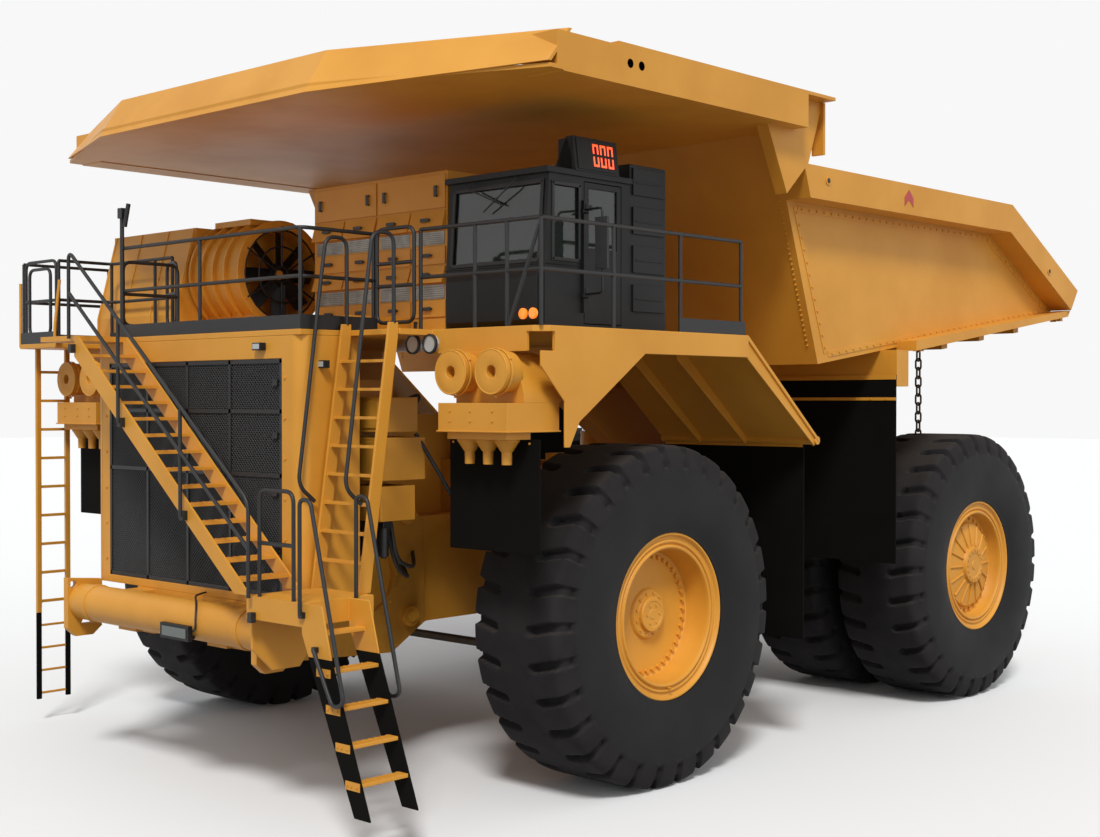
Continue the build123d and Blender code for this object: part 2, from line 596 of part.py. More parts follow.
door_x = (cab_x[1] - 45, cab_x[1])
with BuildPart() as cab_door:
    block(*door_x, *door_y, *door_z)
    block(door_x[0], door_x[1], door_y[0] + 70, door_y[1] - 70, 5900, door_z[1] - 60, mode=Mode.SUBTRACT)
    for z in door_hinge_z:
        block(door_x[1], door_x[1] + 20, door_axis[1], door_axis[1] + 110, z + run_gap, z + 60)
        bar((*door_axis, z + run_gap), (*door_axis, z + 60), 22, 12)
        bar((*door_axis, z), (*door_axis, z + 70), hinge_pin_r + run_gap, mode=Mode.SUBTRACT)
cab_door.part.label = "cab_door"
export_step(cab_door.part, "parts/cab_door.step")

with BuildPart() as door_glass:
    block(door_x[0] + 16, door_x[0] + 16 + glass, door_y[0] + 70, door_y[1] - 70, 5900, door_z[1] - 60)
door_glass.part.label = "door_glass"
export_step(door_glass.part, "parts/door_glass.step")

with BuildPart() as cab_tower:
    block(3050, cab_x[1], cab_rear, 430, deck_z, 6880)
cab_tower.part.label = "cab_tower"
export_step(cab_tower.part, "parts/cab_tower.step")

with BuildPart() as roof_display:
    with BuildSketch(Plane.XY.offset(cab_roof)) as display:
        Polygon((3380, front_y - 1130), (3590, front_y - 1130), (3590, front_y - 420),
                (3380, front_y - 420), align=None)
    extrude(display.sketch, amount=380)
roof_display.part.label = "roof_display"
export_step(roof_display.part, "parts/roof_display.step")

# ---------------------------------------------------------------- cabinets and retarder grid
cabinet_y = (-1500, -500)
with BuildPart() as control_cabinets:
    block(-300, 2050, *cabinet_y, deck_z, 6830)
    block(300, 1450, -2400, cabinet_y[0], deck_z, 5200)
control_cabinets.part.label = "control_cabinets"
export_step(control_cabinets.part, "parts/control_cabinets.step")

drum_y, drum_z, drum_r = -1500, 5830, 630
drum_x = (-2000, -950)
fan_x = (-1070, -1000)
with BuildPart() as grid_housing:
    block(-3900, drum_x[0], -2050, -900, deck_z, 6450)
    block(*drum_x, -1900, -1100, deck_z, 5350)
    bar((drum_x[0], drum_y, drum_z), (drum_x[1], drum_y, drum_z), drum_r, 24)
    bar((drum_x[1] - 350, drum_y, drum_z), (drum_x[1], drum_y, drum_z), drum_r - 60, 24,
        mode=Mode.SUBTRACT)
    bar((drum_x[1] - 350, drum_y, drum_z), (drum_x[1] - 60, drum_y, drum_z), 60)
grid_housing.part.label = "grid_housing"
export_step(grid_housing.part, "parts/grid_housing.step")

with BuildPart() as blower_fan:
    bar((fan_x[0], drum_y, drum_z), (fan_x[1], drum_y, drum_z), 150, 16)
    for n in range(8):
        turn = radians(n * 45)
        a = (fan_x[0] + 35, drum_y + 120 * cos(turn), drum_z + 120 * sin(turn))
        b = (fan_x[0] + 35, drum_y + 530 * cos(turn), drum_z + 530 * sin(turn))
        blade = Plane(origin=Vector(*a) + Vector(0, front_y, 0), x_dir=(1, 0, 0),
                      z_dir=Vector(*b) - Vector(*a))
        with BuildSketch(blade) as section:
            Rectangle(14, 190, rotation=35)
        extrude(section.sketch, amount=410)
    bar((fan_x[0] - 80, drum_y, drum_z), (fan_x[1] + 80, drum_y, drum_z), 60 + run_gap,
        mode=Mode.SUBTRACT)
blower_fan.part.label = "blower_fan"
export_step(blower_fan.part, "parts/blower_fan.step")

# ---------------------------------------------------------------- tanks beside the frame
with BuildPart() as side_tanks:
    for side, s in sides:
        block(s * rail_out, s * 2300, 2700, 4200, 1500, 2850)
side_tanks.part.label = "side_tanks"
export_step(side_tanks.part, "parts/side_tanks.step")

# ---------------------------------------------------------------- stairs
stair_low, stair_high = (2070, 2340), (-1220, 4990)
stair_y = (-4200, -3550)
stringer_deep, stringer_thick = 230, 25
treads = 14
stair_slope = (stair_high[1] - stair_low[1]) / (stair_high[0] - stair_low[0])

with BuildPart() as stairs:
    for y in (stair_y[0], stair_y[1] - stringer_thick):
        upright([(stair_low[0], stair_low[1]), (stair_low[0] - 250, stair_low[1]),
                 (stair_high[0], stair_high[1] - stringer_deep), (stair_high[0], stair_high[1]),
                 (stair_high[0] + 60, stair_high[1])], y, y + stringer_thick)
    for n in range(1, treads + 1):
        x = stair_low[0] + (stair_high[0] - stair_low[0]) * n / (treads + 1)
        z = stair_low[1] + (stair_high[1] - stair_low[1]) * n / (treads + 1)
        block(x - 190, x + 40, stair_y[0] + stringer_thick, stair_y[1] - stringer_thick, z - 60, z - 30)
    block(-guard_half, stair_high[0], stair_y[0], guard_front, deck_z - deck_thick, deck_z)
stairs.part.label = "stairs"
export_step(stairs.part, "parts/stairs.step")

# ---------------------------------------------------------------- ladders
upper_ladder_x = (2010, 2780)
upper_ladder_rungs = 9
with BuildPart() as ladders:
    for x in (upper_ladder_x[0], upper_ladder_x[1] - 30):
        prism([(-3390, landing_z), (-3240, landing_z), (-2870, deck_z - deck_thick), (-2870, deck_z + 60),
               (-2990, deck_z + 60)], x, x + 30)
    for n in range(1, upper_ladder_rungs):
        y = -3330 + 400 * n / upper_ladder_rungs
        z = landing_z + 2620 * n / upper_ladder_rungs
        block(upper_ladder_x[0] + 30, upper_ladder_x[1] - 30, y - 40, y + 40, z - 15, z + 15)
    for y in ladder_y:
        block(ladder_x - 25, ladder_x + 25, y - 30, y + 30, strap_top, deck_z - deck_thick)
    for n in range(9):
        z = strap_top + 150 + n * 380
        block(ladder_x - 20, ladder_x + 20, ladder_y[0] + 30, ladder_y[1] - 30, z - 18, z + 18)
ladders.part.label = "ladders"
export_step(ladders.part, "parts/ladders.step")

# ---------------------------------------------------------------- railings
rail_top, rail_mid = 6050, 5550
foot_z = deck_z + pipe_r / 2
stair_rail_y = -nose_reach + pipe_r * cos(radians(30))
with BuildPart() as deck_railings:
    for s, y0 in ((1, -2380), (-1, -3150)):
        x = s * 4310
        pipe((x, y0, foot_z), (x, y0, rail_top), (x, 900, rail_top), (x, 900, foot_z))
        pipe((x, y0, rail_mid), (x, 900, rail_mid))
        for y in (-1300, -200):
            pipe((x, y, foot_z), (x, y, rail_top))
    pipe((2850, -2380, foot_z), (2850, -2380, rail_top), (4310, -2380, rail_top))
    pipe((2850, -2380, rail_mid), (4310, -2380, rail_mid))
deck_railings.part.label = "deck_railings"
export_step(deck_railings.part, "parts/deck_railings.step")

with BuildPart() as stair_railings:
    for x, low in ((-200, 0), (980, 0)):
        z = stair_low[1] + (x - stair_low[0]) * stair_slope
        pipe((x, stair_rail_y, z - 150), (x, stair_rail_y, z + 1000))
        block(x - 30, x + 30, stair_rail_y, stair_y[0], z - 120, z - 60)
    pipe((-1220, stair_rail_y, 5950), (2150, stair_rail_y, 3280), (2150, stair_rail_y, 2550))
    pipe((-1220, stair_rail_y, 5500), (2150, stair_rail_y, 2830))
    pipe((-1220, stair_rail_y, deck_z - 40), (-1220, stair_rail_y, 5950))
    block(-1250, -1190, stair_rail_y, stair_y[0], deck_z - 40, deck_z)
    block(2120, 2180, stair_rail_y, landing_y[0], 2200, 2260)
    pipe((2150, stair_rail_y, 2150), (2150, stair_rail_y, 2560))
stair_railings.part.label = "stair_railings"
export_step(stair_railings.part, "parts/stair_railings.step")

# ---------------------------------------------------------------- lamps
with BuildPart() as lamps:
    for x in (2560, 2820):
        for s in (1, -1):
            bar((s * x, deck_front - 60, 4850), (s * x, deck_front, 4850), 90, 12)
lamps.part.label = "lamps"
export_step(lamps.part, "parts/lamps.step")
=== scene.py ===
# A rigid mining dump truck: a box-rail frame on six big tyres, a deck with the cab and the
# electric cabinets over the front axle, and a welded rock body that tips over the rear wheels.
# Everything is in metres; the front faces -Y and the cab stands on the +X side.
import math
import bmesh
import bpy
from mathutils import Matrix, Vector


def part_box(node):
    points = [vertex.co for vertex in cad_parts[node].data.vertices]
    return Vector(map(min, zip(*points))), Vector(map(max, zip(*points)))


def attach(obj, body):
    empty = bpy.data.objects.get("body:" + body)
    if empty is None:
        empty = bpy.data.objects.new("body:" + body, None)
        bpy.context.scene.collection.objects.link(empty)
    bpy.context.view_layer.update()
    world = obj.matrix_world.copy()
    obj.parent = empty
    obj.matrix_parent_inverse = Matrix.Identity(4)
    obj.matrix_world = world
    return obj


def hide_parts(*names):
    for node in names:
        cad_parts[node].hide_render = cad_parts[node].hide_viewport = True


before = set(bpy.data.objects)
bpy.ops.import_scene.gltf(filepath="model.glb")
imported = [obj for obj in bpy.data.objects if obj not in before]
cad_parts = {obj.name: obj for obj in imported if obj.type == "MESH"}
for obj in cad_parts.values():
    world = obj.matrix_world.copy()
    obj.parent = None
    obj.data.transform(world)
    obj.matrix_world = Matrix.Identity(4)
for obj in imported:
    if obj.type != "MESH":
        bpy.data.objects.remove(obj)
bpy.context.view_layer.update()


# ------------------------------------------------------------------ view, light and floor
# The truck stands on a pale level floor under a broad even sky.
# One soft high sun stands in front of it and a weak, wider one to its left.
def linear(code):
    """A six-digit sRGB colour as linear red, green, blue and alpha."""
    parts = [int(code[i:i + 2], 16) / 255 for i in (1, 3, 5)]
    return [c / 12.92 if c <= 0.04045 else ((c + 0.055) / 1.055) ** 2.4 for c in parts] + [1.0]


def add(tree, kind, settings=None, links=None):
    """Adds one node, with its settings and the outputs that feed its sockets."""
    made = tree.nodes.new(kind)
    for key, value in (settings or {}).items():
        if isinstance(key, str) and hasattr(made, key):
            setattr(made, key, value)
        else:
            made.inputs[key].default_value = value
    for key, source in (links or {}).items():
        tree.links.new(source, made.inputs[key])
    return made


def shows_backdrop(tree):
    """1 for rays that see the backdrop: from the camera, in a reflection or through glass."""
    rays = add(tree, "ShaderNodeLightPath")
    mirrored = add(tree, "ShaderNodeMath", {"operation": "MAXIMUM"},
                   {0: rays.outputs["Is Camera Ray"], 1: rays.outputs["Is Glossy Ray"]})
    through = add(tree, "ShaderNodeMath", {"operation": "MAXIMUM"},
                  {0: mirrored.outputs[0], 1: rays.outputs["Is Transmission Ray"]})
    return through.outputs[0]


eye, sight_down, sight_turn = (14.564, -16.047, 4.264), 0.669, 42.955
camera = bpy.data.cameras.new("camera")
camera.sensor_width = 36
camera.lens = 50.37
camera.clip_end = 500
viewer = bpy.data.objects.new("camera", camera)
viewer.location = eye
viewer.rotation_euler = (math.radians(90 - sight_down), 0, math.radians(sight_turn))
bpy.context.scene.collection.objects.link(viewer)
bpy.context.scene.camera = viewer
bpy.context.scene.view_settings.view_transform = "Standard"

for name, energy, width, tilt, turn in (("sun", 2.3, 12, 42, 40), ("side_sun", 0.4, 40, 75, 90)):
    lamp = bpy.data.lights.new(name, "SUN")
    lamp.energy = energy
    lamp.angle = math.radians(width)
    hung = bpy.data.objects.new(name, lamp)
    hung.rotation_euler = (math.radians(tilt), 0, math.radians(turn))
    bpy.context.scene.collection.objects.link(hung)

world = bpy.data.worlds.new("sky")
world.use_nodes = True
sky = world.node_tree
sky.nodes.clear()
light = add(sky, "ShaderNodeBackground", {"Color": linear("#EDEFF2"), "Strength": 0.66})
shown = add(sky, "ShaderNodeBackground", {"Color": linear("#F8F8F8"), "Strength": 1.0})
mixed = add(sky, "ShaderNodeMixShader",
            links={0: shows_backdrop(sky), 1: light.outputs[0], 2: shown.outputs[0]})
add(sky, "ShaderNodeOutputWorld", links={"Surface": mixed.outputs[0]})
bpy.context.scene.world = world

floor_half = 150
ground_mesh = bpy.data.meshes.new("ground")
ground_mesh.from_pydata([(-floor_half, -floor_half, 0), (floor_half, -floor_half, 0),
                         (floor_half, floor_half, 0), (-floor_half, floor_half, 0)],
                        [], [(0, 1, 2, 3)])
ground = bpy.data.objects.new("ground", ground_mesh)
bpy.context.scene.collection.objects.link(ground)
# Painted board: pale where it is seen, and a mid grey for the light that it throws up.
pale_floor = bpy.data.materials.new("pale_floor")
pale_floor.use_nodes = True
floor_tree = pale_floor.node_tree
floor_tone = add(floor_tree, "ShaderNodeMix",
                 {"data_type": "RGBA", 6: linear("#8C8C8A"), 7: linear("#EFEFEE")},
                 {0: shows_backdrop(floor_tree)})
floor_shader = floor_tree.nodes["Principled BSDF"]
floor_tree.links.new(floor_tone.outputs[2], floor_shader.inputs["Base Color"])
floor_shader.inputs["Roughness"].default_value = 0.9
ground_mesh.materials.append(pale_floor)


# ------------------------------------------------------------------ frame, axle and engine
# Two welded box rails carry the struts, the engine and the tanks; the rear axle housing and the
# front knuckles are steel castings.  All keep their solid's shape and are sprayed yellow, with
# their edges broken as a grinder leaves them.
def surface(name, base, second, patch_mm, grain_mm, bump_mm, roughness, metallic=0.0, dust=0.0,
            coat=0.0, gloss=0.5):
    """A surface whose colour drifts between two tones, with a fine grain and dust on top."""
    made = bpy.data.materials.new(name)
    made.use_nodes = True
    tree = made.node_tree
    shader = tree.nodes["Principled BSDF"]
    spot = add(tree, "ShaderNodeTexCoord")
    drift = add(tree, "ShaderNodeTexNoise", {"Scale": 1000 / patch_mm, "Detail": 4.0},
                {"Vector": spot.outputs["Object"]})
    grain = add(tree, "ShaderNodeTexNoise", {"Scale": 1000 / grain_mm, "Detail": 3.0},
                {"Vector": spot.outputs["Object"]})
    spread = add(tree, "ShaderNodeMapRange", {"From Min": 0.35, "From Max": 0.65},
                 {"Value": drift.outputs["Fac"]})
    tone = add(tree, "ShaderNodeMix", {"data_type": "RGBA", 6: linear(base), 7: linear(second)},
               {0: spread.outputs[0]})
    facing = add(tree, "ShaderNodeNewGeometry")
    upward = add(tree, "ShaderNodeSeparateXYZ", links={0: facing.outputs["Normal"]})
    settled = add(tree, "ShaderNodeMapRange", {"From Min": 0.5, "From Max": 1.0, "To Max": dust},
                  {"Value": upward.outputs["Z"]})
    dusty = add(tree, "ShaderNodeMix", {"data_type": "RGBA", 7: linear("#B9A88C")},
                {0: settled.outputs[0], 6: tone.outputs[2]})
    tree.links.new(dusty.outputs[2], shader.inputs["Base Color"])
    polish = add(tree, "ShaderNodeMapRange",
                 {"To Min": roughness - 0.06, "To Max": roughness + 0.08},
                 {"Value": drift.outputs["Fac"]})
    tree.links.new(polish.outputs[0], shader.inputs["Roughness"])
    relief = add(tree, "ShaderNodeBump", {"Strength": 0.35, "Distance": bump_mm / 1000},
                 {"Height": grain.outputs["Fac"]})
    tree.links.new(relief.outputs[0], shader.inputs["Normal"])
    shader.inputs["Metallic"].default_value = metallic
    shader.inputs["Coat Weight"].default_value = coat
    shader.inputs["Coat Roughness"].default_value = 0.25
    shader.inputs["Specular IOR Level"].default_value = gloss
    return made


def break_edges(made, width, angle, harden=False):
    """Breaks every edge sharper than an angle, as grinding and folding do."""
    broken = made.modifiers.new("broken_edges", "BEVEL")
    broken.width = width
    broken.segments = 2
    broken.limit_method = "ANGLE"
    broken.angle_limit = math.radians(angle)
    broken.harden_normals = harden


def dress(names, finish, edge=0.007):
    """Gives CAD nodes their finish and, unless edge is 0, broken edges."""
    for name in names.split():
        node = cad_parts[name]
        node.data.materials.clear()
        node.data.materials.append(finish)
        if edge:
            node.modifiers.new("weld", "WELD").merge_threshold = 0.0002
            break_edges(node, edge, 32, True)


# Machine enamel, sprayed over primer: satin, so it takes soft wide highlights, with slow drifts
# of tone a metre long.  Its orange peel is 2 mm across and is drawn at 6 mm so that it shows.
yellow_enamel = surface("yellow_enamel", "#D79630", "#CD8C28", 900, 6, 0.25, 0.5, dust=0.03)
# The same enamel over sand-cast steel, with the sand's grain; its darker tone is painted shade.
yellow_enamel_painted_shade = surface("yellow_enamel_painted_shade", "#C98C2C", "#BA7F27", 350, 9, 1.2, 0.55, dust=0.04)
dress("main_frame front_struts rear_struts engine_block side_tanks", yellow_enamel)
dress("rear_axle knuckle_left knuckle_right", yellow_enamel_painted_shade)


# ------------------------------------------------------------------ steering and hoist cylinders
# Drawn steel barrels in yellow enamel, hard-chromed rods and stages, and a forged tie rod.
# They are pinned to the frame, the knuckles and the rock body, and keep their solid's shape.

# Hard chrome, ground and polished: a bright narrow streak along each rod.
chrome_rod = surface("chromed_rod", "#C9CACB", "#BFC1C3", 400, 3, 0.05, 0.16, metallic=1.0)
# Forged steel with an oily skin: dark, brownish and patchy, half mirror and half dirt.
bare_casting = surface("oiled_casting", "#4B4238", "#5C4F3E", 160, 8, 1.0, 0.6, metallic=0.4)
dress("tie_rod", bare_casting)
for side in ("left", "right"):
    dress(f"steer_barrel_{side} hoist_barrel_{side}", yellow_enamel)
    dress(f"steer_rod_{side} hoist_stage_{side} hoist_rod_{side}", chrome_rod)


# ------------------------------------------------------------------ tyres
# Radial tyres 3.8 m across, moulded and cured in one piece, single in front and twinned behind.
# The tread has 30 deep slots round each shoulder and a plain middle band; the walls are smooth.
def place(low_node):
    """Middle of a CAD node's box."""
    low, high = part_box(low_node)
    return (Vector(low) + Vector(high)) / 2


def hand_over(name, mesh, body, finishes, edge=0.0):
    """Makes a piece of a mesh: its finishes, its broken edges and the CAD body it rides on."""
    made = bpy.data.objects.new(name, mesh)
    bpy.context.scene.collection.objects.link(made)
    for finish in finishes:
        mesh.materials.append(finish)
    if edge:
        break_edges(made, edge, 40)
    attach(made, body)
    return made


def piece(name, shape, body, finishes, edge=0.0, sharp=30):
    """Closes a bmesh into a piece whose edges are sharp above an angle."""
    bmesh.ops.remove_doubles(shape, verts=shape.verts, dist=1e-5)
    bmesh.ops.recalc_face_normals(shape, faces=shape.faces)
    for line in shape.edges:
        if len(line.link_faces) == 2 and line.calc_face_angle(0) > math.radians(sharp):
            line.smooth = False
    mesh = bpy.data.meshes.new(name)
    shape.to_mesh(mesh)
    shape.free()
    return hand_over(name, mesh, body, finishes, edge)


def ease(value, low, high):
    """0 below low, 1 above high, and a smooth step between."""
    t = min(1.0, max(0.0, (value - low) / (high - low)))
    return t * t * (3 - 2 * t)


tyre_r, lugs, band, slot_deep, slot_half = 1.89, 30, 0.2, 0.085, 0.052
bead_to_crown = [
    (0.600, 0.925), (0.606, 0.955), (0.622, 1.000), (0.648, 1.080), (0.666, 1.180), (0.674, 1.290),
    (0.674, 1.400), (0.667, 1.500), (0.660, 1.560), (0.652, 1.610), (0.645, 1.650), (0.634, 1.700),
    (0.620, 1.750), (0.603, 1.800), (0.584, 1.840), (0.560, 1.868), (0.530, 1.882), (0.490, 1.8865),
    (0.440, 1.888), (0.390, 1.889), (0.340, 1.8895), (0.300, 1.89), (0.270, 1.89), (0.245, 1.89),
    (0.220, 1.89), (0.200, 1.89), (0.150, 1.89), (0.080, 1.89)]
tyre_points = bead_to_crown + [(0.0, tyre_r)] + [(-x, r) for x, r in reversed(bead_to_crown)]


def slot_depth(x, turn, r):
    """How far the tread is cut away: slots run in over both shoulders and end rounded."""
    side = abs(x)
    pitch = 2 * math.pi / lugs
    lean = 0.035 * ease(side, band, 0.6)
    off = abs(((turn + lean + pitch / 2 + 0.5 * pitch) % pitch) - pitch / 2) * tyre_r
    reach = math.hypot(off, max(0.0, band + 0.06 - side))
    across = 1 - ease(reach, slot_half - 0.012, slot_half + 0.012)
    along = 1.0 if r > 1.7 else ease(r, 1.62, 1.70)
    return slot_deep * across * along


def tyre(shape, centre, steps):
    """One tyre as a turned grid whose tread points sink where a slot runs."""
    rings = []
    for n in range(steps):
        turn = 2 * math.pi * n / steps
        ring = []
        for x, r in tyre_points:
            cut = slot_depth(x, turn, r)
            inward = ease(r, 1.60, 1.86)
            depth_r = r - cut * (0.35 + 0.65 * inward)
            depth_x = x - math.copysign(cut * 0.75 * (1 - inward), x) if x else 0.0
            ring.append(shape.verts.new(Vector(centre) + Vector(
                (depth_x, depth_r * math.sin(turn), -depth_r * math.cos(turn)))))
        rings.append(ring)
    for n in range(steps):
        here, there = rings[n], rings[(n + 1) % steps]
        for j in range(len(tyre_points)):
            k = (j + 1) % len(tyre_points)
            face = shape.faces.new((here[j], here[k], there[k], there[j]))
            face.smooth = True
            middle = (tyre_points[j][1] + tyre_points[k][1]) / 2
            face.material_index = 0 if middle > 1.60 else 1


# Cured tread rubber, scuffed by rock: brownish, dry and nearly without shine.
tread_rubber = surface("tread_rubber", "#211E1F", "#1B191A", 260, 7, 1.4, 0.85, dust=0.04,
                       gloss=0.25)
# Wall rubber straight from a smooth mould: blacker, with a faint even sheen.
wall_rubber = surface("sidewall_rubber", "#151516", "#121213", 420, 5, 0.4, 0.68, gloss=0.25)
front_axle, rear_axle = place("front_tyre_left"), place("rear_rims_left")
dual_outer, dual_inner = 3.385, 1.825

for side, s in (("left", 1), ("right", -1)):
    dress(f"front_tyre_{side} rear_tyres_{side}", tread_rubber, 0)
    shape = bmesh.new()
    tyre(shape, (s * front_axle.x, front_axle.y, tyre_r), 720)
    made = piece(f"front_tyre_rubber_{side}", shape, f"front_wheel_{side}",
                 [tread_rubber, wall_rubber], sharp=60)
    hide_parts(f"front_tyre_{side}")

    shape = bmesh.new()
    for x in (dual_inner, dual_outer):
        tyre(shape, (s * x, rear_axle.y, tyre_r), 600)
    made = piece(f"rear_tyre_rubber_{side}", shape, f"rear_wheel_{side}",
                 [tread_rubber, wall_rubber], sharp=60)
    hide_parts(f"rear_tyres_{side}")


# ------------------------------------------------------------------ rims and hubs
# Demountable steel rims: a rolled gutter, lock ring and side ring outside, and a deep barrel to
# the disc.  Forty bolts clamp the front disc; the rear face is the wheel motor's ribbed cover.
def lathe(shape, profile, centre, way, steps, axis=0):
    """Turns an (along, radius) profile about an axis; way -1 mirrors it along the axis."""
    rings = []
    for n in range(steps):
        turn = 2 * math.pi * n / steps
        ring = []
        for along, r in profile:
            point = [0.0, 0.0, 0.0]
            point[axis] = way * along
            point[(axis + 1) % 3] = r * math.cos(turn)
            point[(axis + 2) % 3] = r * math.sin(turn)
            ring.append(shape.verts.new(Vector(centre) + Vector(point)))
        rings.append(ring)
    for n in range(steps):
        here, there = rings[n], rings[(n + 1) % steps]
        for j in range(len(profile) - 1):
            shape.faces.new((here[j], here[j + 1], there[j + 1], there[j])).smooth = True


def rod(shape, start, end, radius, sides=20, tone=0):
    """A round bar with flat ends."""
    start, end = Vector(start), Vector(end)
    spin = (end - start).to_track_quat("Z", "Y").to_matrix()
    rings = [[shape.verts.new(cap + spin @ Vector((radius * math.cos(2 * math.pi * n / sides),
                                                   radius * math.sin(2 * math.pi * n / sides), 0)))
              for n in range(sides)] for cap in (start, end)]
    for n in range(sides):
        m = (n + 1) % sides
        face = shape.faces.new((rings[0][n], rings[0][m], rings[1][m], rings[1][n]))
        face.smooth = sides > 8
        face.material_index = tone
    for ring in rings:
        shape.faces.new(ring).material_index = tone


def stud(shape, spot, out, radius, tall, sides=6):
    """One hexagon bolt head standing on a face."""
    out = Vector(out).normalized()
    rod(shape, Vector(spot) - out * 0.002, Vector(spot) + out * tall, radius, sides)


def bolt_circle(shape, centre, way, along, ring, count, radius, tall, phase=0.0):
    """Bolt heads evenly round an x axis, facing the way of the profile that they stand on."""
    for n in range(count):
        turn = 2 * math.pi * (n + phase) / count
        stud(shape, centre + Vector((way * along, ring * math.cos(turn), ring * math.sin(turn))),
             (way, 0, 0), radius, tall)


rim_half = 0.585
lip = [(rim_half, 0.924), (0.592, 0.915), (0.590, 0.900), (0.575, 0.886), (0.556, 0.880),
       (0.548, 0.868), (0.548, 0.846), (0.560, 0.838), (0.566, 0.826), (0.562, 0.812),
       (0.545, 0.806), (0.540, 0.795), (0.548, 0.786), (0.566, 0.780), (0.572, 0.766),
       (0.566, 0.750), (0.548, 0.742), (0.520, 0.740)]
front_face = lip + [
    (0.300, 0.716), (0.262, 0.706), (0.250, 0.690), (0.246, 0.670), (0.246, 0.400), (0.252, 0.330),
    (0.262, 0.290), (0.290, 0.275), (0.300, 0.262), (0.302, 0.205), (0.312, 0.197), (0.345, 0.193),
    (0.354, 0.186), (0.356, 0.150), (0.350, 0.144), (0.346, 0.060), (0.352, 0.052), (0.352, 0.0)]
rear_face = lip + [
    (0.400, 0.726), (0.385, 0.716), (0.380, 0.700), (0.380, 0.620), (0.395, 0.608), (0.430, 0.600),
    (0.442, 0.590), (0.470, 0.430), (0.490, 0.300), (0.498, 0.272), (0.520, 0.262), (0.540, 0.255),
    (0.548, 0.243), (0.548, 0.180), (0.538, 0.170), (0.536, 0.070), (0.548, 0.062), (0.548, 0.0)]
front_back = [(0.18, 0.2), (0.18, 0.72), (0.0, 0.86), (-0.3, 0.87), (-rim_half, 0.87),
              (-rim_half, 0.924)]
inner_edge = dual_inner - rim_half - dual_outer

for side, s in (("left", 1), ("right", -1)):
    dress(f"front_rim_{side} rear_rims_{side}", yellow_enamel)
    shape = bmesh.new()
    centre = Vector((s * front_axle.x, front_axle.y, tyre_r))
    lathe(shape, [(-rim_half, 0.924)] + front_face, centre, s, 128)
    lathe(shape, front_back, centre, s, 96)
    bolt_circle(shape, centre, s, 0.246, 0.640, 40, 0.026, 0.034)
    bolt_circle(shape, centre, s, 0.301, 0.235, 12, 0.014, 0.016, 0.5)
    bolt_circle(shape, centre, s, 0.350, 0.110, 6, 0.012, 0.012)
    stud(shape, centre + Vector((s * 0.560, 0, -0.79)), (s, 0, 0), 0.012, 0.05, 10)
    made = piece(f"front_rim_steel_{side}", shape, f"front_wheel_{side}", [yellow_enamel])
    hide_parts(f"front_rim_{side}")

    shape = bmesh.new()
    centre = Vector((s * dual_outer, rear_axle.y, tyre_r))
    lathe(shape, [(inner_edge, 0.924)] + rear_face, centre, s, 128)
    lathe(shape, [(0.30, 0.43), (0.30, 0.70), (0.2, 0.86), (inner_edge, 0.87)], centre, s, 96)
    bolt_circle(shape, centre, s, 0.381, 0.662, 32, 0.022, 0.03)
    bolt_circle(shape, centre, s, 0.548, 0.212, 16, 0.013, 0.014)
    for n in range(16):
        turn = 2 * math.pi * n / 16
        rib = [centre + Vector((s * along, r * math.cos(turn), r * math.sin(turn)))
               for along, r in ((0.502, 0.285), (0.452, 0.575))]
        rod(shape, *rib, 0.017, 8)
    made = piece(f"rear_rim_steel_{side}", shape, f"rear_wheel_{side}", [yellow_enamel])
    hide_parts(f"rear_rims_{side}")


# ------------------------------------------------------------------ bumper and display panel
# The bumper is one drawn steel tube across the nose with flame-cut tow hooks welded on.
# A small display panel is bolted to its face and takes its supply through one short cable
# that comes out of the guard and goes in behind the panel.
def at(x, y, z):
    """Millimetres from the front axle line to metres in the shared frame."""
    return Vector((x / 1000, front_axle.y + y / 1000, z / 1000))


def plate(shape, points, across, tone=0):
    """A flat plate: an outline in millimetres, carried by the vector across."""
    near = [shape.verts.new(at(*p)) for p in points]
    far = [shape.verts.new(at(*(Vector(p) + Vector(across)))) for p in points]
    for n in range(len(points)):
        m = (n + 1) % len(points)
        shape.faces.new((near[n], near[m], far[m], far[n])).material_index = tone
    shape.faces.new(list(reversed(near))).material_index = tone
    shape.faces.new(far).material_index = tone


def block(shape, x0, x1, y0, y1, z0, z1, tone=0):
    """A box between two corners in millimetres."""
    plate(shape, [(x0, y0, z0), (x1, y0, z0), (x1, y0, z1), (x0, y0, z1)], (0, y1 - y0, 0), tone)


def clear(name, tint, alpha, roughness, glow=None):
    """Tinted glass or lens plastic, with a thin uneven film of dust."""
    made = bpy.data.materials.new(name)
    made.use_nodes = True
    tree = made.node_tree
    shader = tree.nodes["Principled BSDF"]
    spot = add(tree, "ShaderNodeTexCoord")
    film = add(tree, "ShaderNodeTexNoise", {"Scale": 1000 / 400, "Detail": 5.0},
               {"Vector": spot.outputs["Object"]})
    smear = add(tree, "ShaderNodeMapRange", {"To Min": roughness, "To Max": roughness + 0.08},
                {"Value": film.outputs["Fac"]})
    tree.links.new(smear.outputs[0], shader.inputs["Roughness"])
    shader.inputs["Base Color"].default_value = linear(tint)
    shader.inputs["Alpha"].default_value = alpha
    shader.inputs["IOR"].default_value = 1.5
    shader.inputs["Coat Weight"].default_value = 1.0
    shader.inputs["Coat Roughness"].default_value = 0.03
    if glow:
        shader.inputs["Emission Color"].default_value = linear(glow)
        shader.inputs["Emission Strength"].default_value = 1.6
    return made


# Machine enamel in near black: the same satin, with a weaker shine that dust has dulled.
black_enamel = surface("black_enamel", "#151617", "#111213", 700, 5, 0.3, 0.5, dust=0.03,
                       gloss=0.3)
# Toughened glass over a dark green display.
screen_glass = clear("screen_glass", "#2E3B33", 1.0, 0.1)
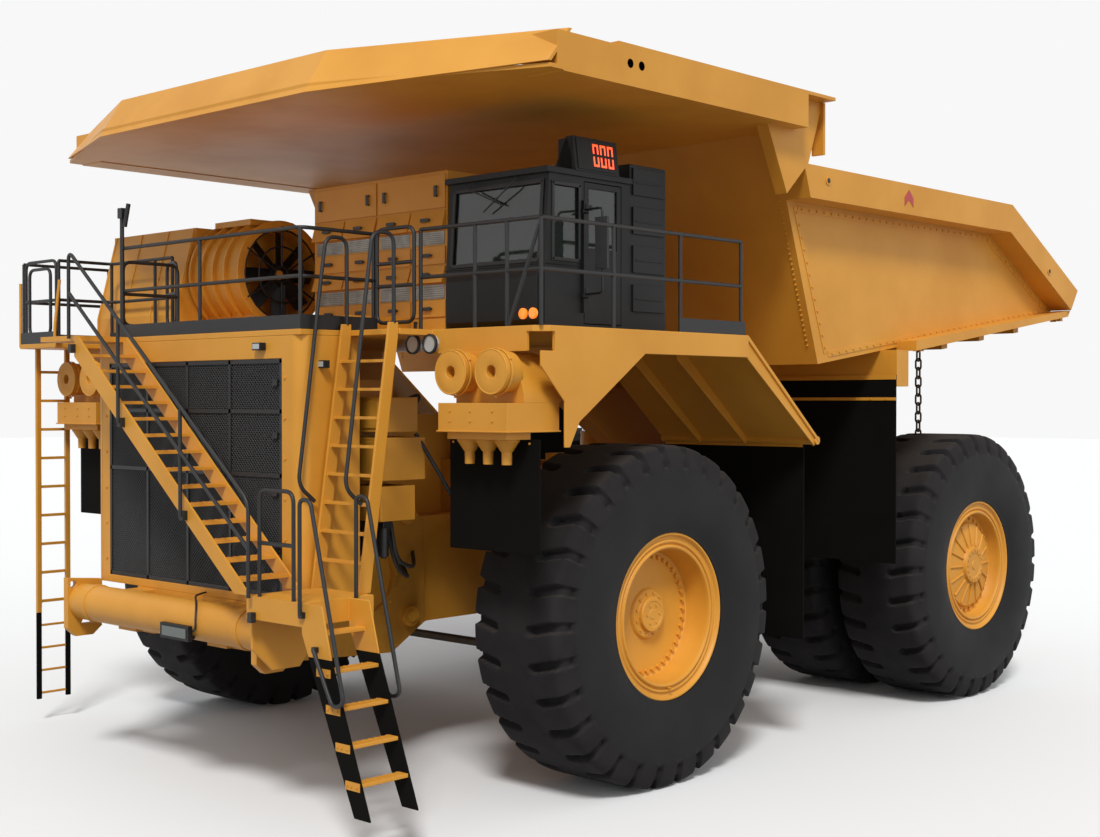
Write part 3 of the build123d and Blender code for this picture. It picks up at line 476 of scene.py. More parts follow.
# Extruded hose and cable rubber: smooth and black with a soft highlight.
hose_rubber = surface("hose_rubber", "#141414", "#1C1C1C", 120, 3, 0.3, 0.55)
bumper_y, bumper_z, bumper_r = -3750, 1900, 0.2095
dress("front_bumper", yellow_enamel)

shape = bmesh.new()
rod(shape, at(-1893, bumper_y, bumper_z), at(2023, bumper_y, bumper_z), bumper_r, 64)
for x in (-1480, 1480):
    rod(shape, at(x - 30, bumper_y, bumper_z), at(x + 30, bumper_y, bumper_z), 0.222, 64)
piece("bumper_tube", shape, "chassis", [yellow_enamel], 0.008)

shape = bmesh.new()
block(shape, 200, 730, -4010, -3958, 1715, 1880)
block(shape, 240, 690, -4016, -4010, 1745, 1850, 1)
for x in (260, 670):
    block(shape, x - 25, x + 25, -3965, -3900, 1730, 1760)
piece("bumper_panel", shape, "chassis", [black_enamel, screen_glass], 0.003)

cable_curve = bpy.data.curves.new("panel_cable", "CURVE")
cable_curve.dimensions = "3D"
cable_curve.bevel_depth = 0.011
cable_curve.bevel_resolution = 4
cable_curve.use_fill_caps = True
cable_route = [(300, -3488, 2160), (340, -3640, 2150), (540, -3790, 2150), (750, -3920, 2110),
               (830, -3985, 1990), (820, -3980, 1850), (736, -3952, 1828)]
cable_line = cable_curve.splines.new("NURBS")
cable_line.points.add(len(cable_route) - 1)
for point, spot in zip(cable_line.points, cable_route):
    point.co = (*at(*spot), 1)
cable_line.order_u = 3
cable_line.use_endpoint_u = True
cable_line.resolution_u = 10
cable = bpy.data.objects.new("panel_cable", cable_curve)
bpy.context.scene.collection.objects.link(cable)
cable_curve.materials.append(hose_rubber)
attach(cable, "chassis")


# ------------------------------------------------------------------ nose: cheeks, valves, lines
# Plate cheeks with a large lightening hole stiffen the nose, with bosses for the cross pins.
# Valve boxes stand on a back plate beside the radiator, and hoses and filters hang under them.
def cut_plate(name, outline, holes, thick, x, way):
    """A flame-cut plate in a plane of constant x: outline and holes in (y, z), in millimetres."""
    sheet = bpy.data.curves.new(name, "CURVE")
    sheet.dimensions = "2D"
    sheet.fill_mode = "BOTH"
    sheet.extrude = thick / 2000
    rings = [outline] + [[(y + r * math.cos(2 * math.pi * n / 48),
                           z + r * math.sin(2 * math.pi * n / 48)) for n in range(48)]
                         for y, z, r in holes]
    for ring in rings:
        line = sheet.splines.new("POLY")
        line.points.add(len(ring) - 1)
        for point, (y, z) in zip(line.points, ring):
            point.co = (y / 1000, z / 1000, 0, 1)
        line.use_cyclic_u = True
    stand_in = bpy.data.objects.new(name, sheet)
    mesh = bpy.data.meshes.new_from_object(stand_in)
    bpy.data.objects.remove(stand_in)
    middle = x / 1000 + way * thick / 2000
    mesh.transform(Matrix(((0, 0, way, middle), (1, 0, 0, front_axle.y), (0, 1, 0, 0),
                           (0, 0, 0, 1))))
    mesh.materials.clear()
    return mesh


def rounded(points, bend):
    """The points of a bent pipe: each corner becomes an arc of about the bend radius."""
    points = [Vector(p) for p in points]
    out = [points[0]]
    for before, corner, after in zip(points, points[1:], points[2:]):
        a, b = (before - corner), (after - corner)
        reach = min(bend, a.length * 0.45, b.length * 0.45)
        start, end = corner + a.normalized() * reach, corner + b.normalized() * reach
        for n in range(7):
            t = n / 6
            out.append(start * (1 - t) ** 2 + corner * 2 * t * (1 - t) + end * t * t)
    return out + [points[-1]]


def pipes(name, runs, radius, body, finish, bend=90, loops=()):
    """Bent round pipes, open runs and closed loops, as one piece; sizes in millimetres."""
    bent = bpy.data.curves.new(name, "CURVE")
    bent.dimensions = "3D"
    bent.bevel_depth = radius / 1000
    bent.bevel_resolution = 3
    bent.use_fill_caps = True
    courses = [(rounded(run, bend), False) for run in runs]
    courses += [(rounded(list(loop) + [loop[0], loop[1]], bend)[1:-1], True) for loop in loops]
    for course, ring in courses:
        line = bent.splines.new("POLY")
        line.points.add(len(course) - 1)
        for point, spot in zip(line.points, course):
            point.co = (*at(*spot), 1)
        line.use_cyclic_u = ring
    made = bpy.data.objects.new(name, bent)
    bpy.context.scene.collection.objects.link(made)
    bent.materials.append(finish)
    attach(made, body)
    return made


# Gloss-black enamel on round pipe and small castings: darker, with the pipe's thin highlight.
pipe_enamel = surface("black_pipe_enamel", "#0D0D0E", "#141415", 300, 4, 0.2, 0.5)
cheek_outline = [(-3450, 1650), (-2900, 1420), (-1500, 1350), (-1000, 1650), (-1000, 2850),
                 (-1500, 3300), (-2300, 3400), (-2650, 2900), (-2690, 2100), (-3450, 2100)]
hole_y, hole_z, hole_r = -1900, 2250, 420
cheek_x, cheek_thick = 1050, 60
for side, s in (("left", 1), ("right", -1)):
    cheek = cut_plate("cheek", cheek_outline, [(hole_y, hole_z, hole_r)], cheek_thick,
                      s * cheek_x, s)
    # The cheeks take the darker yellow, whose tone is painted shade under the deck.
    hand_over(f"nose_cheek_{side}", cheek, "chassis", [yellow_enamel_painted_shade], 0.006)

    shape = bmesh.new()
    for y, z, r in ((-2800, 1850, 0.12), (-1250, 1750, 0.12), (-1300, 2950, 0.12)):
        rod(shape, at(s * 1100, y, z), at(s * 1175, y, z), r, 40)
        rod(shape, at(s * 1170, y, z), at(s * 1200, y, z), r * 0.55, 32)
    bolt_circle(shape, at(0, hole_y, hole_z), s, 1.110, 0.480, 18, 0.016, 0.018)
    for low, high, deep in ((2950, 3330, 500), (3390, 3860, 650), (3920, 4300, 540)):
        block(shape, s * 1310, s * 1900, -2350, -2350 + deep, low, high)
        block(shape, s * 1350, s * 1860, -2362, -2350, low + 40, high - 40)
    block(shape, s * 1250, s * 1310, -2400, -1650, 2700, 4500)
    block(shape, s * 1100, s * 1250, -2200, -1800, 2950, 3150)
    piece(f"valve_boxes_{side}", shape, "chassis", [yellow_enamel], 0.008)

    shape = bmesh.new()
    for n in range(4):
        x = s * (1380 + 140 * n)
        rod(shape, at(x, -2220, 2560), at(x, -2220, 2880), 0.055, 24)
        rod(shape, at(x, -2220, 2540), at(x, -2220, 2570), 0.03, 16)
    block(shape, s * 1320, s * 1860, -2280, -2160, 2880, 2950)
    piece(f"oil_filters_{side}", shape, "chassis", [pipe_enamel], 0.006)

    lines = [[(1700, -2050, 3000), (1750, -2000, 2500), (1500, -1500, 2350), (1070, -1150, 2500)],
             [(1600, -2050, 3000), (1640, -1900, 2400), (1350, -1450, 2220), (1070, -1350, 2400)],
             [(1500, -2350, 3600), (1500, -2520, 3300), (1450, -2540, 2700), (1070, -2400, 2500)],
             [(1850, -1800, 3900), (1980, -1600, 3500), (1950, -1200, 3000), (1600, -350, 3100)],
             [(1400, -1720, 4200), (1500, -1400, 4350), (690, -900, 4000)]]
    pipes(f"hydraulic_lines_{side}", [[(s * x, y, z) for x, y, z in line] for line in lines],
          24, "chassis", hose_rubber, 220)


# ------------------------------------------------------------------ radiator guard and grille
# The guard is folded plate with rolled front corners; a bolted grille of expanded mesh fills it.
# Two small black flood lamps hang from its fascia.

# Brazed tubes and fins, drawn as a coarse dark relief: only a shimmer shows behind the mesh.
radiator_core = surface("radiator_core", "#0E0F10", "#151618", 90, 5, 2.0, 0.6, metallic=0.3)
# Moulded clear polycarbonate: a bright hard reflection over a pale grey.
lens_glass = clear("lens_glass", "#C9CDCB", 0.75, 0.05)
dress("radiator", radiator_core)
dress("radiator_guard", yellow_enamel)
dress("grille", pipe_enamel)

guard_half, guard_front, grille_half, roll = 1970, -3490, 1660, 150
shape = bmesh.new()
for s in (1, -1):
    turns = [math.radians(6 * n) for n in range(16)]
    arc = [(s * (guard_half - roll + roll * math.sin(turn)),
            guard_front + roll - roll * math.cos(turn), 2120) for turn in turns]
    plate(shape, arc, (0, 0, 2820))
for x in (-grille_half - 60, grille_half + 60):
    for n in range(6):
        stud(shape, at(x, guard_front, 2400 + 420 * n), (0, -1, 0), 0.016, 0.014)
piece("guard_corner_rolls", shape, "chassis", [yellow_enamel], sharp=20)

shape = bmesh.new()
mesh_pitch, wire = 46, 5
x0, x1, z0, z1 = -grille_half + 30, grille_half - 30, 2240, 4670
for lean in (1, -1):
    for n in range(1, int((x1 - x0 + z1 - z0) / mesh_pitch) + 1):
        start = n * mesh_pitch
        za, zb = z0 + max(0, start - (x1 - x0)), z0 + min(start, z1 - z0)
        xa, xb = x0 + start - (za - z0), x0 + start - (zb - z0)
        if lean < 0:
            xa, xb = x0 + x1 - xa, x0 + x1 - xb
        if abs(zb - za) > 20:
            rod(shape, at(xa, -3474 + lean, za), at(xb, -3474 + lean, zb), wire / 1000, 3)
for x in (-grille_half + 20, -860, -60, 740, grille_half - 20):
    block(shape, x - 20, x + 20, -3486, -3465, 2210, 4700)
for z in (2235, 3480, 4150, 4675):
    block(shape, -grille_half, grille_half, -3486, -3465, z - 22, z + 22)
for z in (2700, 3300, 3900, 4450):
    block(shape, grille_half - 140, grille_half - 60, -3505, -3484, z - 30, z + 30)
piece("grille_mesh", shape, "chassis", [pipe_enamel])

shape = bmesh.new()
for x, y, z in ((1330, -3500, 4830), (1990, -3180, 4640)):
    block(shape, x - 70, x + 70, y - 70, y + 5, z - 40, z + 40)
    block(shape, x - 55, x + 55, y - 76, y - 70, z - 28, z + 28, 1)
piece("flood_lamps", shape, "chassis", [black_enamel, lens_glass], 0.004)


# ------------------------------------------------------------------ deck, fenders and skirts
# Folded ribs stiffen the sloping plate fenders from below and a rolled bar closes their rear edge.
# Rubber skirts hang under the fenders and the body, clamped by painted strips.

# Skirt rubber is calendered sheet, matt and nearly black, and takes hardly any light.
skirt_rubber = surface("skirt_rubber", "#080705", "#0C0B08", 500, 8, 0.6, 0.9, gloss=0.1)
dress("deck", yellow_enamel)
dress("mud_flaps body_flaps", skirt_rubber)
shape = bmesh.new()
for s in (1, -1):
    for x in (2600, 3300, 4300):
        plate(shape, [(s * x, 1000, 4750), (s * x, 1000, 4980), (s * x, 2380, 3810),
                      (s * x, 2380, 3720)], (s * 25, 0, 0))
    rod(shape, at(s * 1975, 2420, 3785), at(s * 4345, 2420, 3785), 0.05, 32)
    block(shape, s * 1990, s * 4120, 2432, 2440, 3700, 3740)
    for n in range(9):
        stud(shape, at(s * (2100 + 240 * n), 2432, 3720), (0, -1, 0), 0.012, 0.01)
    for x in (3060, 3420, 3780, 4140):
        stud(shape, at(s * x, -2362, 3840), (0, -1, 0), 0.014, 0.012)
piece("fender_ribs", shape, "chassis", [yellow_enamel], 0.004)

strip_y = 4570
shape = bmesh.new()
for s in (1, -1):
    block(shape, s * 1600, s * 4140, strip_y, strip_y + 10, 4265, 4305)
    block(shape, s * 1600, s * 4140, strip_y, strip_y + 10, 4540, 4600)
    for n in range(11):
        stud(shape, at(s * (1700 + 230 * n), strip_y, 4285), (0, -1, 0), 0.012, 0.01)
piece("skirt_strips", shape, "tipper", [yellow_enamel], 0.002)


# ------------------------------------------------------------------ air cleaners
# Two pressed canisters a side draw air into a rolled plenum above a folded filter box.
# Each box has a bolted flange below and three moulded dust cups that open at the bottom.
def lathe_y(shape, profile, centre, steps=64):
    """Turns an (along y, radius) profile about a y axis, in millimetres."""
    lathe(shape, [(a / 1000, r / 1000) for a, r in profile], centre, 1, steps, axis=1)


dress("air_cleaners", yellow_enamel)
canister = [(245, 0), (245, 200), (0, 226), (-2, 216), (2, 206), (0, 200), (0, 72), (4, 62),
            (110, 60), (110, 0)]
dust_cup = [(0, 0), (0, 0.128), (-0.02, 0.128), (-0.03, 0.116), (-0.11, 0.066), (-0.125, 0.052),
            (-0.25, 0.050), (-0.25, 0.038), (-0.22, 0.036), (-0.22, 0)]
shape = bmesh.new()
for s in (1, -1):
    for n in (-1, 1):
        centre = at(s * 3690 + n * 285, -2740, 4545)
        lathe_y(shape, canister, centre)
        lathe_y(shape, [(60, 225), (60, 236), (85, 236), (85, 222)], centre)
        for k in range(3):
            turn = math.radians(120 * k + 30)
            stud(shape, centre + Vector((0.236 * math.cos(turn), 0.07, 0.236 * math.sin(turn))),
                 (math.cos(turn), 0, math.sin(turn)), 0.014, 0.02)
    curve = [(s * (3750 + 450 * math.sin(math.radians(6 * t))), -2500,
              4240 + 510 * math.cos(math.radians(6 * t))) for t in range(16)]
    plate(shape, [(s * 3240, -2500, 4240), (s * 3240, -2500, 4750)] + curve, (0, 520, 0))
    block(shape, s * 3230, s * 4200, -2740, -2000, 3960, 4240)
    block(shape, s * 3215, s * 4215, -2755, -1990, 3952, 3968)
    block(shape, s * 3300, s * 4130, -2680, -2340, 3880, 3952)
    for x in (3400, 3690, 4000):
        for z in (4060, 4160):
            stud(shape, at(s * x, -2740, z), (0, -1, 0), 0.012, 0.012)
    for n in range(3):
        lathe(shape, dust_cup, at(s * (3450 + n * 260), -2510, 3880), 1, 40, axis=2)
made = piece("air_cleaner_set", shape, "chassis", [yellow_enamel], 0.004)
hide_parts("air_cleaners")


# ------------------------------------------------------------------ stairs, ladders, hanging steps
# Treads are folded plate with raised cleats, and the lowest steps hang on two rubber straps.
# Yellow clamp plates bolt each hanging step through the rubber.
dress("landing stairs ladders hanging_steps", yellow_enamel)
dress("rubber_sides", skirt_rubber)
shape = bmesh.new()
for n in range(4):
    x, z = 3280 + n * 140, 1750 - n * 330
    for y, face, out in ((-4206, -4206, -1), (-3600, -3594, 1)):
        block(shape, x - 150, x + 55, y, y + 6, z - 75, z + 5)
        for dx in (-120, -60, 20):
            stud(shape, at(x + dx, face, z - 35), (0, out, 0), 0.012, 0.01)
    for k in range(8):
        block(shape, x - 62, x + 62, -4170 + k * 72, -4160 + k * 72, z, z + 5)
for n in range(1, 15):
    x, z = 2070 - 3290 * n / 15, 2340 + 2650 * n / 15 - 30
    for k in range(8):
        block(shape, x - 180, x + 30, -4165 + k * 75, -4157 + k * 75, z, z + 5)
piece("step_plates", shape, "chassis", [yellow_enamel])


# ------------------------------------------------------------------ railings and handrails
# All walkways are fenced with bent round pipe, two rails high, welded and sprayed black.
# Swing gates close the ladder and stair heads; folded toe boards run along the deck's edges.
rail_top, rail_mid, deck_z = 6050, 5550, 5000
dress("deck_railings", black_enamel)
dress("stair_railings", yellow_enamel)


def fence(points, posts):
    """Runs of a two-rail fence: the rails through the points and a post at each spot."""
    return ([[(x, y, z) for x, y in points] for z in (rail_top, rail_mid)]
            + [[(x, y, deck_z), (x, y, rail_top)] for x, y in posts])


deck_runs = (
    fence([(4310, -2380), (4310, 900)], [(4310, y) for y in (-2380, -1300, -200, 900)])
    + fence([(-4310, -3150), (-4310, 900)], [(-4310, y) for y in (-3150, -1900, -600, 900)])
    + fence([(2600, -2400), (4310, -2380)], [(2600, -2400), (3400, -2390), (3850, -2385)])
    + fence([(-1480, -3430), (1900, -3430), (1900, -2450)],
            [(-1480, -3430), (110, -3430), (1900, -3430), (1900, -2450)])
    + fence([(-2010, -2390), (-3420, -2390), (-3420, -3150)],
            [(-2010, -2390), (-3420, -2390), (-3420, -3150)])
    + [[(-2400, -2390, 5050), (-2400, -2390, rail_top)],
       [(4290, -2380, 5980), (3890, -2400, 5010)]])
gates = [
    [(-4250, -3150, 5080), (-4250, -3150, 6060), (-3480, -3150, 6060), (-3480, -3150, 5080)],
    [(-4130, -3165, 5110), (-4130, -3165, 5960), (-3600, -3165, 5960), (-3600, -3165, 5110)],
    [(1950, -2440, 5090), (1950, -2440, 6090), (2540, -2440, 6090), (2540, -2440, 5090)],
    [(-1500, -3400, 5150), (-1500, -3400, 5900), (-1500, -2650, 5900), (-1500, -2650, 5150)],
    [(-1530, -2650, 5200), (-1530, -2650, 5950), (-1960, -2500, 5950), (-1960, -2500, 5200)]]
bars = [[(-4250, -3150, 5550), (-3480, -3150, 5550)], [(1950, -2440, 5720), (2540, -2440, 5720)],
        [(1950, -2440, 5480), (2540, -2440, 5480)], [(-1500, -3400, 5520), (-1500, -2650, 5520)],
        [(-1530, -2650, 5570), (-1960, -2500, 5570)]]
made = pipes("deck_pipe_railings", deck_runs + bars, 21, "chassis", pipe_enamel,
             110, gates)
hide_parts("deck_railings")

stair_y, head_x, foot_x, stair_foot_z = -4268, -1220, 2150, 2340
stair_slope = (4990 - stair_foot_z) / (head_x - 2070)


def tread_z(x):
    """Height of the stair's tread line at x."""
    return stair_foot_z + (x - 2070) * stair_slope


stair_runs = [[(head_x, stair_y, 4960), (head_x, stair_y, 5950), (foot_x, stair_y, 3280),
               (foot_x, stair_y, 2330)],
              [(head_x, stair_y, 5480), (foot_x, stair_y, 2810)]]
stair_runs += [[(x, stair_y, tread_z(x) - 150), (x, stair_y, tread_z(x) + 960)]
               for x in (-200, 980)]
stair_runs += [[(2200, -4170, 2340), (2200, -4170, 3390), (2740, -4170, 3390), (2740, -4170, 2340)],
               [(2200, -4170, 2870), (2740, -4170, 2870)]]
for y in (-4245, -3555):
    stair_runs.append([(2930, y, 2230), (2930, y, 3330), (3090, y, 3330), (3580, y, 1470),
                       (3420, y, 1420), (3130, y, 1930)])
for x in (2025, 2765):
    stair_runs.append([(x, -3350, 3230), (x, -3560, 3400), (x, -3200, 5960), (x, -2920, 5960),
                       (x, -2920, 5050)])
made = pipes("stair_pipe_railings", stair_runs, 21, "chassis", pipe_enamel, 120)
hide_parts("stair_railings")

shape = bmesh.new()
for x in (-200, 980, head_x, foot_x):
    block(shape, x - 32, x + 32, -4262, -4200, tread_z(x) - 190, tread_z(x) - 90)
for low, high in ((-4245, -4200), (-3600, -3555)):
    block(shape, 2900, 2960, low, high, 2200, 2260)
    block(shape, 3100, 3160, low, high, 1900, 1950)
board_z = deck_z + 150
for x0, x1, y in ((-1480, 1962, -3480), (-3430, -1990, -2415), (-4330, -3430, -3188)):
    block(shape, x0, x1, y, y + 12, deck_z, board_z)
for x, y0, y1 in ((4330, -250, 950), (-4342, -3180, 950), (1958, -3470, -2450)):
    block(shape, x, x + 12, y0, y1, deck_z, board_z)
block(shape, -1485, -1395, -3485, -3400, 6400, 6520)
piece("toe_boards", shape, "chassis", [pipe_enamel], 0.003)
pipes("deck_mast", [[(-1440, -3450, 5000), (-1440, -3450, 6420)],
                    [(-1380, -3450, 6300), (-1300, -3450, 6560)]],
      26, "chassis", pipe_enamel, 30)
pipes("grab_posts", [[(-4370, -3165, 4960), (-4370, -3165, 5800)],
                     [(-3380, -3230, 4960), (-3380, -3230, 5200), (-3350, -3180, 5800)]],
      20, "chassis", yellow_enamel, 60)


# ------------------------------------------------------------------ cab
# A welded steel cab in black enamel with tinted glass held in moulded rubber seals.
# Inside are the driver's seat, the dash and a column with a padded wheel; lamps, wipers,
# mirrors and a wedge with a lit weight display are bolted on outside.
def seal_ring(shape, plane, fixed, a0, a1, b0, b1, wide, thick, lean=0.0):
    """A rectangular seal: outer size a0..a1 by b0..b1, in the plane y (or x) = fixed."""
    for u0, u1, v0, v1 in ((a0, a1, b0, b0 + wide), (a0, a1, b1 - wide, b1),
                           (a0, a0 + wide, b0, b1), (a1 - wide, a1, b0, b1)):
        low, high = fixed + lean * (v0 - b0), fixed + lean * (v1 - b0)
        if plane == "y":
            plate(shape, [(u0, low, v0), (u1, low, v0), (u1, high, v1), (u0, high, v1)],
                  (0, thick, 0))
        else:
            plate(shape, [(fixed, u0, v0), (fixed, u1, v0), (fixed, u1, v1), (fixed, u0, v1)],
                  (thick, 0, 0))


# Laminated float glass with a grey-green tint: dark inside, with a sharp pale reflection.
window_glass = clear("window_glass", "#262E2A", 0.66, 0.03)
# Injection-moulded black plastic with a fine leather grain: an even half-matt grey-black.
moulded_plastic = surface("moulded_plastic", "#1F2021", "#262728", 200, 2, 0.3, 0.5)
# Moulded acrylic lenses, lit from inside: saturated amber, and orange-red display bars.
amber_lens = clear("amber_lens", "#E08A1E", 1.0, 0.15, "#C05A08")
lit_digit = clear("lit_digit", "#FF5A1C", 1.0, 0.3, "#FF4A14")
# Woven polyester: threads 1 mm apart, drawn at 2 mm, soft and without shine.
seat_cloth = surface("seat_cloth", "#2B2D31", "#232529", 60, 2, 0.8, 0.9)
dress("cab_shell cab_tower cab_door roof_display", black_enamel)
dress("cab_interior", moulded_plastic)
dress("cab_glass door_glass", window_glass, 0)

shape = bmesh.new()
seal_ring(shape, "y", -1582, 2165, 3535, 5715, 6585, 42, 26, lean=0.0714)
seal_ring(shape, "x", 3598, -1465, -1015, 5735, 6565, 36, 14)
seal_ring(shape, "x", 2088, -1465, -395, 5735, 6565, 36, 14)
piece("window_seals", shape, "chassis", [hose_rubber], 0.006)

shape = bmesh.new()
plate(shape, [(2070, -1560, 6650), (3630, -1560, 6650), (3630, -180, 6650), (2070, -180, 6650)],
      (0, 0, 62))
plate(shape, [(2160, -1570, 5060), (2160, -1632, 5110), (2160, -1632, 5560), (2160, -1570, 5670)],
      (1380, 0, 0))
block(shape, 2092, 3608, -1578, -1570, 5690, 5706)
block(shape, 3600, 3608, -1570, -1010, 5690, 5706)
for x in (2620, 3080):
    block(shape, x, x + 10, -1638, -1630, 5110, 5560)
for z in (5250, 5680, 6110, 6540):
    block(shape, 3600, 3622, -160, 390, z, z + 300)
    block(shape, 3622, 3630, -120, 350, z + 130, z + 150)
block(shape, 3600, 3640, -1000, -985, 5200, 6400)
for z in (5350, 6250):
    block(shape, 3640, 3700, -1000, -985, z, z + 20)
piece("cab_panels", shape, "chassis", [black_enamel], 0.01)

shape = bmesh.new()
for x in (3355, 3500):
    rod(shape, at(x, -1630, 5175), at(x, -1652, 5175), 0.058, 32)
    rod(shape, at(x, -1652, 5175), at(x, -1660, 5175), 0.046, 32)
piece("amber_lamps", shape, "chassis", [amber_lens])

pipes("wiper_arms", [[(2500, -1540, 6640), (2480, -1590, 6560), (2950, -1560, 6360)],
                     [(3150, -1540, 6640), (3130, -1590, 6560), (2700, -1575, 6300)]],
      9, "chassis", moulded_plastic, 40)
pipes("mirror_arms", [[(3620, -960, 5400), (3900, -1000, 5400), (3900, -1000, 6300),
                       (3620, -960, 6300)]], 13, "chassis", pipe_enamel, 60)
shape = bmesh.new()
block(shape, 3820, 3990, -1030, -1000, 5650, 6200)
block(shape, 3835, 3975, -1000, -996, 5670, 6180, 1)
piece("mirrors", shape, "chassis", [moulded_plastic, chrome_rod], 0.012)

wedge_low, wedge_high = 6705, 7080
lean_x = (3590 - 3640) / (wedge_high - wedge_low)
digit_bars = ((0, 90, 220, 245), (0, 90, 0, 25), (0, 22, 20, 108), (68, 90, 20, 108),
              (0, 22, 137, 225), (68, 90, 137, 225))
shape = bmesh.new()
plate(shape, [(3300, -1130, wedge_low), (3640, -1130, wedge_low), (3590, -1130, wedge_high),
              (3500, -1130, wedge_high)], (0, 710, 0))
plate(shape, [(3640, -1090, 6730), (3640, -460, 6730), (3596, -460, 7060), (3596, -1090, 7060)],
      (6, 0, 0))
for y0 in (-840, -720, -600):
    for ya, yb, za, zb in digit_bars:
        (xa, low), (xb, high) = [(3650 + lean_x * (6775 + z - wedge_low), 6775 + z)
                                 for z in (za, zb)]
        plate(shape, [(xa, y0 + ya, low), (xa, y0 + yb, low), (xb, y0 + yb, high),
                      (xb, y0 + ya, high)], (6, 0, 0), 1)
piece("payload_display", shape, "chassis", [black_enamel, lit_digit], 0.003)

shape = bmesh.new()
for corners in ((2570, 3090, -890, -390, 5300, 5440), (2575, 3085, -480, -360, 5430, 6120),
                (2690, 2970, -470, -380, 6130, 6330)):
    block(shape, *corners)
piece("driver_seat", shape, "chassis", [seat_cloth], 0.05)
grip = [(2830 + 215 * math.cos(math.radians(30 * n)), -1115 + 55 * math.sin(math.radians(30 * n)),
         5725 + 205 * math.sin(math.radians(30 * n))) for n in range(12)]
pipes("wheel_grip", [], 16, "chassis", moulded_plastic, 60, [grip])


# ------------------------------------------------------------------ control cabinets
# Two folded steel cabinets of drawers and doors stand beside the cab, with black pull handles.
# Hooded drawers throw rain clear of the plain metal louvres under them.

# Galvanised sheet: a dull grey metal with a soft blotchy spangle.
louvre_steel = surface("louvre_steel", "#9B9A94", "#87867F", 120, 4, 0.3, 0.4, metallic=0.7)
dress("control_cabinets", yellow_enamel)
cabinet_rows = (("door", 5010, 5180), ("drawer", 5200, 5385), ("louvre", 5400, 5565),
                ("hood", 5580, 5770), ("drawer", 5790, 5990), ("louvre", 6010, 6160),
                ("hood", 6175, 6395), ("wide", 6415, 6790))
face = -1500


def handle(shape, x, z, out, standing):
    """A black pull handle on two feet, upright or level."""
    a, b = (22, 62) if standing else (70, 20)
    block(shape, x - a, x + a, face - out - 34, face - out - 22, z - b, z + b, 1)
    for d in (-1, 1):
        dx, dz = (0, d * (b - 10)) if standing else (d * (a - 12), 0)
        block(shape, x + dx - 10, x + dx + 10, face - out - 24, face - out + 20,
              z + dz - 10, z + dz + 10, 1)


shape = bmesh.new()
for left, right in ((-290, 870), (880, 2040)):
    for kind, low, high in cabinet_rows:
        across = 1 if kind == "wide" else 2
        wide, z = (right - left) / across, (low + high) / 2
        for n in range(across):
            x0, x1 = left + n * wide + 14, left + (n + 1) * wide - 14
            if kind == "louvre":
                block(shape, x0 + 30, x1 - 20, face - 8, face, low, high, 2)
                for k in range(6):
                    slat = low + 12 + k * (high - low - 20) / 6
                    block(shape, x0 + 40, x1 - 30, face - 16, face - 8, slat, slat + 8, 2)
            elif kind == "hood":
                plate(shape, [(x0, face, high), (x0, face - 14, high), (x0, face - 75, low),
                              (x0, face, low)], (x1 - x0, 0, 0))
                handle(shape, (x0 + x1) / 2, z, 46, False)
            else:
                block(shape, x0, x1, face - 18, face, low, high)
                if kind == "drawer":
                    handle(shape, (x0 + x1) / 2, z, 18, False)
                for x in {"wide": (x0 + 130, x1 - 130),
                          "door": (x0 + 90 if n else x1 - 90,)}.get(kind, ()):
                    handle(shape, x, z, 18, True)
block(shape, 320, 1430, -2410, -2400, 5030, 5180)
block(shape, 1100, 1240, -2440, -2425, 5090, 5120, 1)
piece("cabinet_doors", shape, "chassis", [yellow_enamel, moulded_plastic, louvre_steel],
      0.004)


# ------------------------------------------------------------------ retarder blower
# The blower's rolled drum has a flanged mouth, stiffening hoops and a spider that guards the fan.
# A folded duct with a sloping front carries its air to the resistor box.
dress("grid_housing", yellow_enamel)
dress("blower_fan", black_enamel)
drum_y, drum_z, mouth_x = -1500, 5830, -955
drum = at(0, drum_y, drum_z)
shape = bmesh.new()
lathe(shape, [(-2.0, 0.60), (-2.0, 0.640), (-1.98, 0.640), (-0.97, 0.640), (-0.97, 0.672),
              (-0.945, 0.672), (-0.945, 0.600), (-0.96, 0.592), (-1.30, 0.560)], drum, 1, 96)
for x in (-1.960, -1.720, -1.480, -1.240):
    lathe(shape, [(x, 0.636), (x, 0.690), (x + 0.035, 0.690), (x + 0.035, 0.636)], drum, 1, 96)
block(shape, -1900, -1150, -1830, -1170, 6440, 6515)
bolt_circle(shape, drum, 1, -0.945, 0.636, 24, 0.012, 0.012)
plate(shape, [(-3880, -2050, 5000), (-3880, -2330, 5000), (-3880, -2330, 5350),
              (-3880, -2050, 6430)], (1860, 0, 0))
for x in (-3860, -3240, -2620, -2060):
    plate(shape, [(x, -2345, 5010), (x, -2345, 5350), (x, -2060, 6440), (x, -2050, 6440),
                  (x, -2050, 5010)], (30, 0, 0))
piece("blower_drum", shape, "chassis", [yellow_enamel], 0.004, 35)


def mouth_spot(r, degrees):
    """A place in the drum's mouth, r millimetres from its middle."""
    turn = math.radians(degrees)
    return (mouth_x, drum_y + r * math.cos(turn), drum_z + r * math.sin(turn))


spider = [[mouth_spot(r, 60 * n + 30) for r in (90, 605)] for n in range(6)]
rings = [[mouth_spot(r, 15 * n) for n in range(24)] for r in (100, 350, 560)]
pipes("blower_guard", spider, 13, "chassis", pipe_enamel, 20, rings)


# ------------------------------------------------------------------ dump body
# The body is welded wear plate, with bolted seam strips along its walls and ribs over the canopy.
# A chain of forged links hangs between each pair of rear tyres and knocks out rocks.

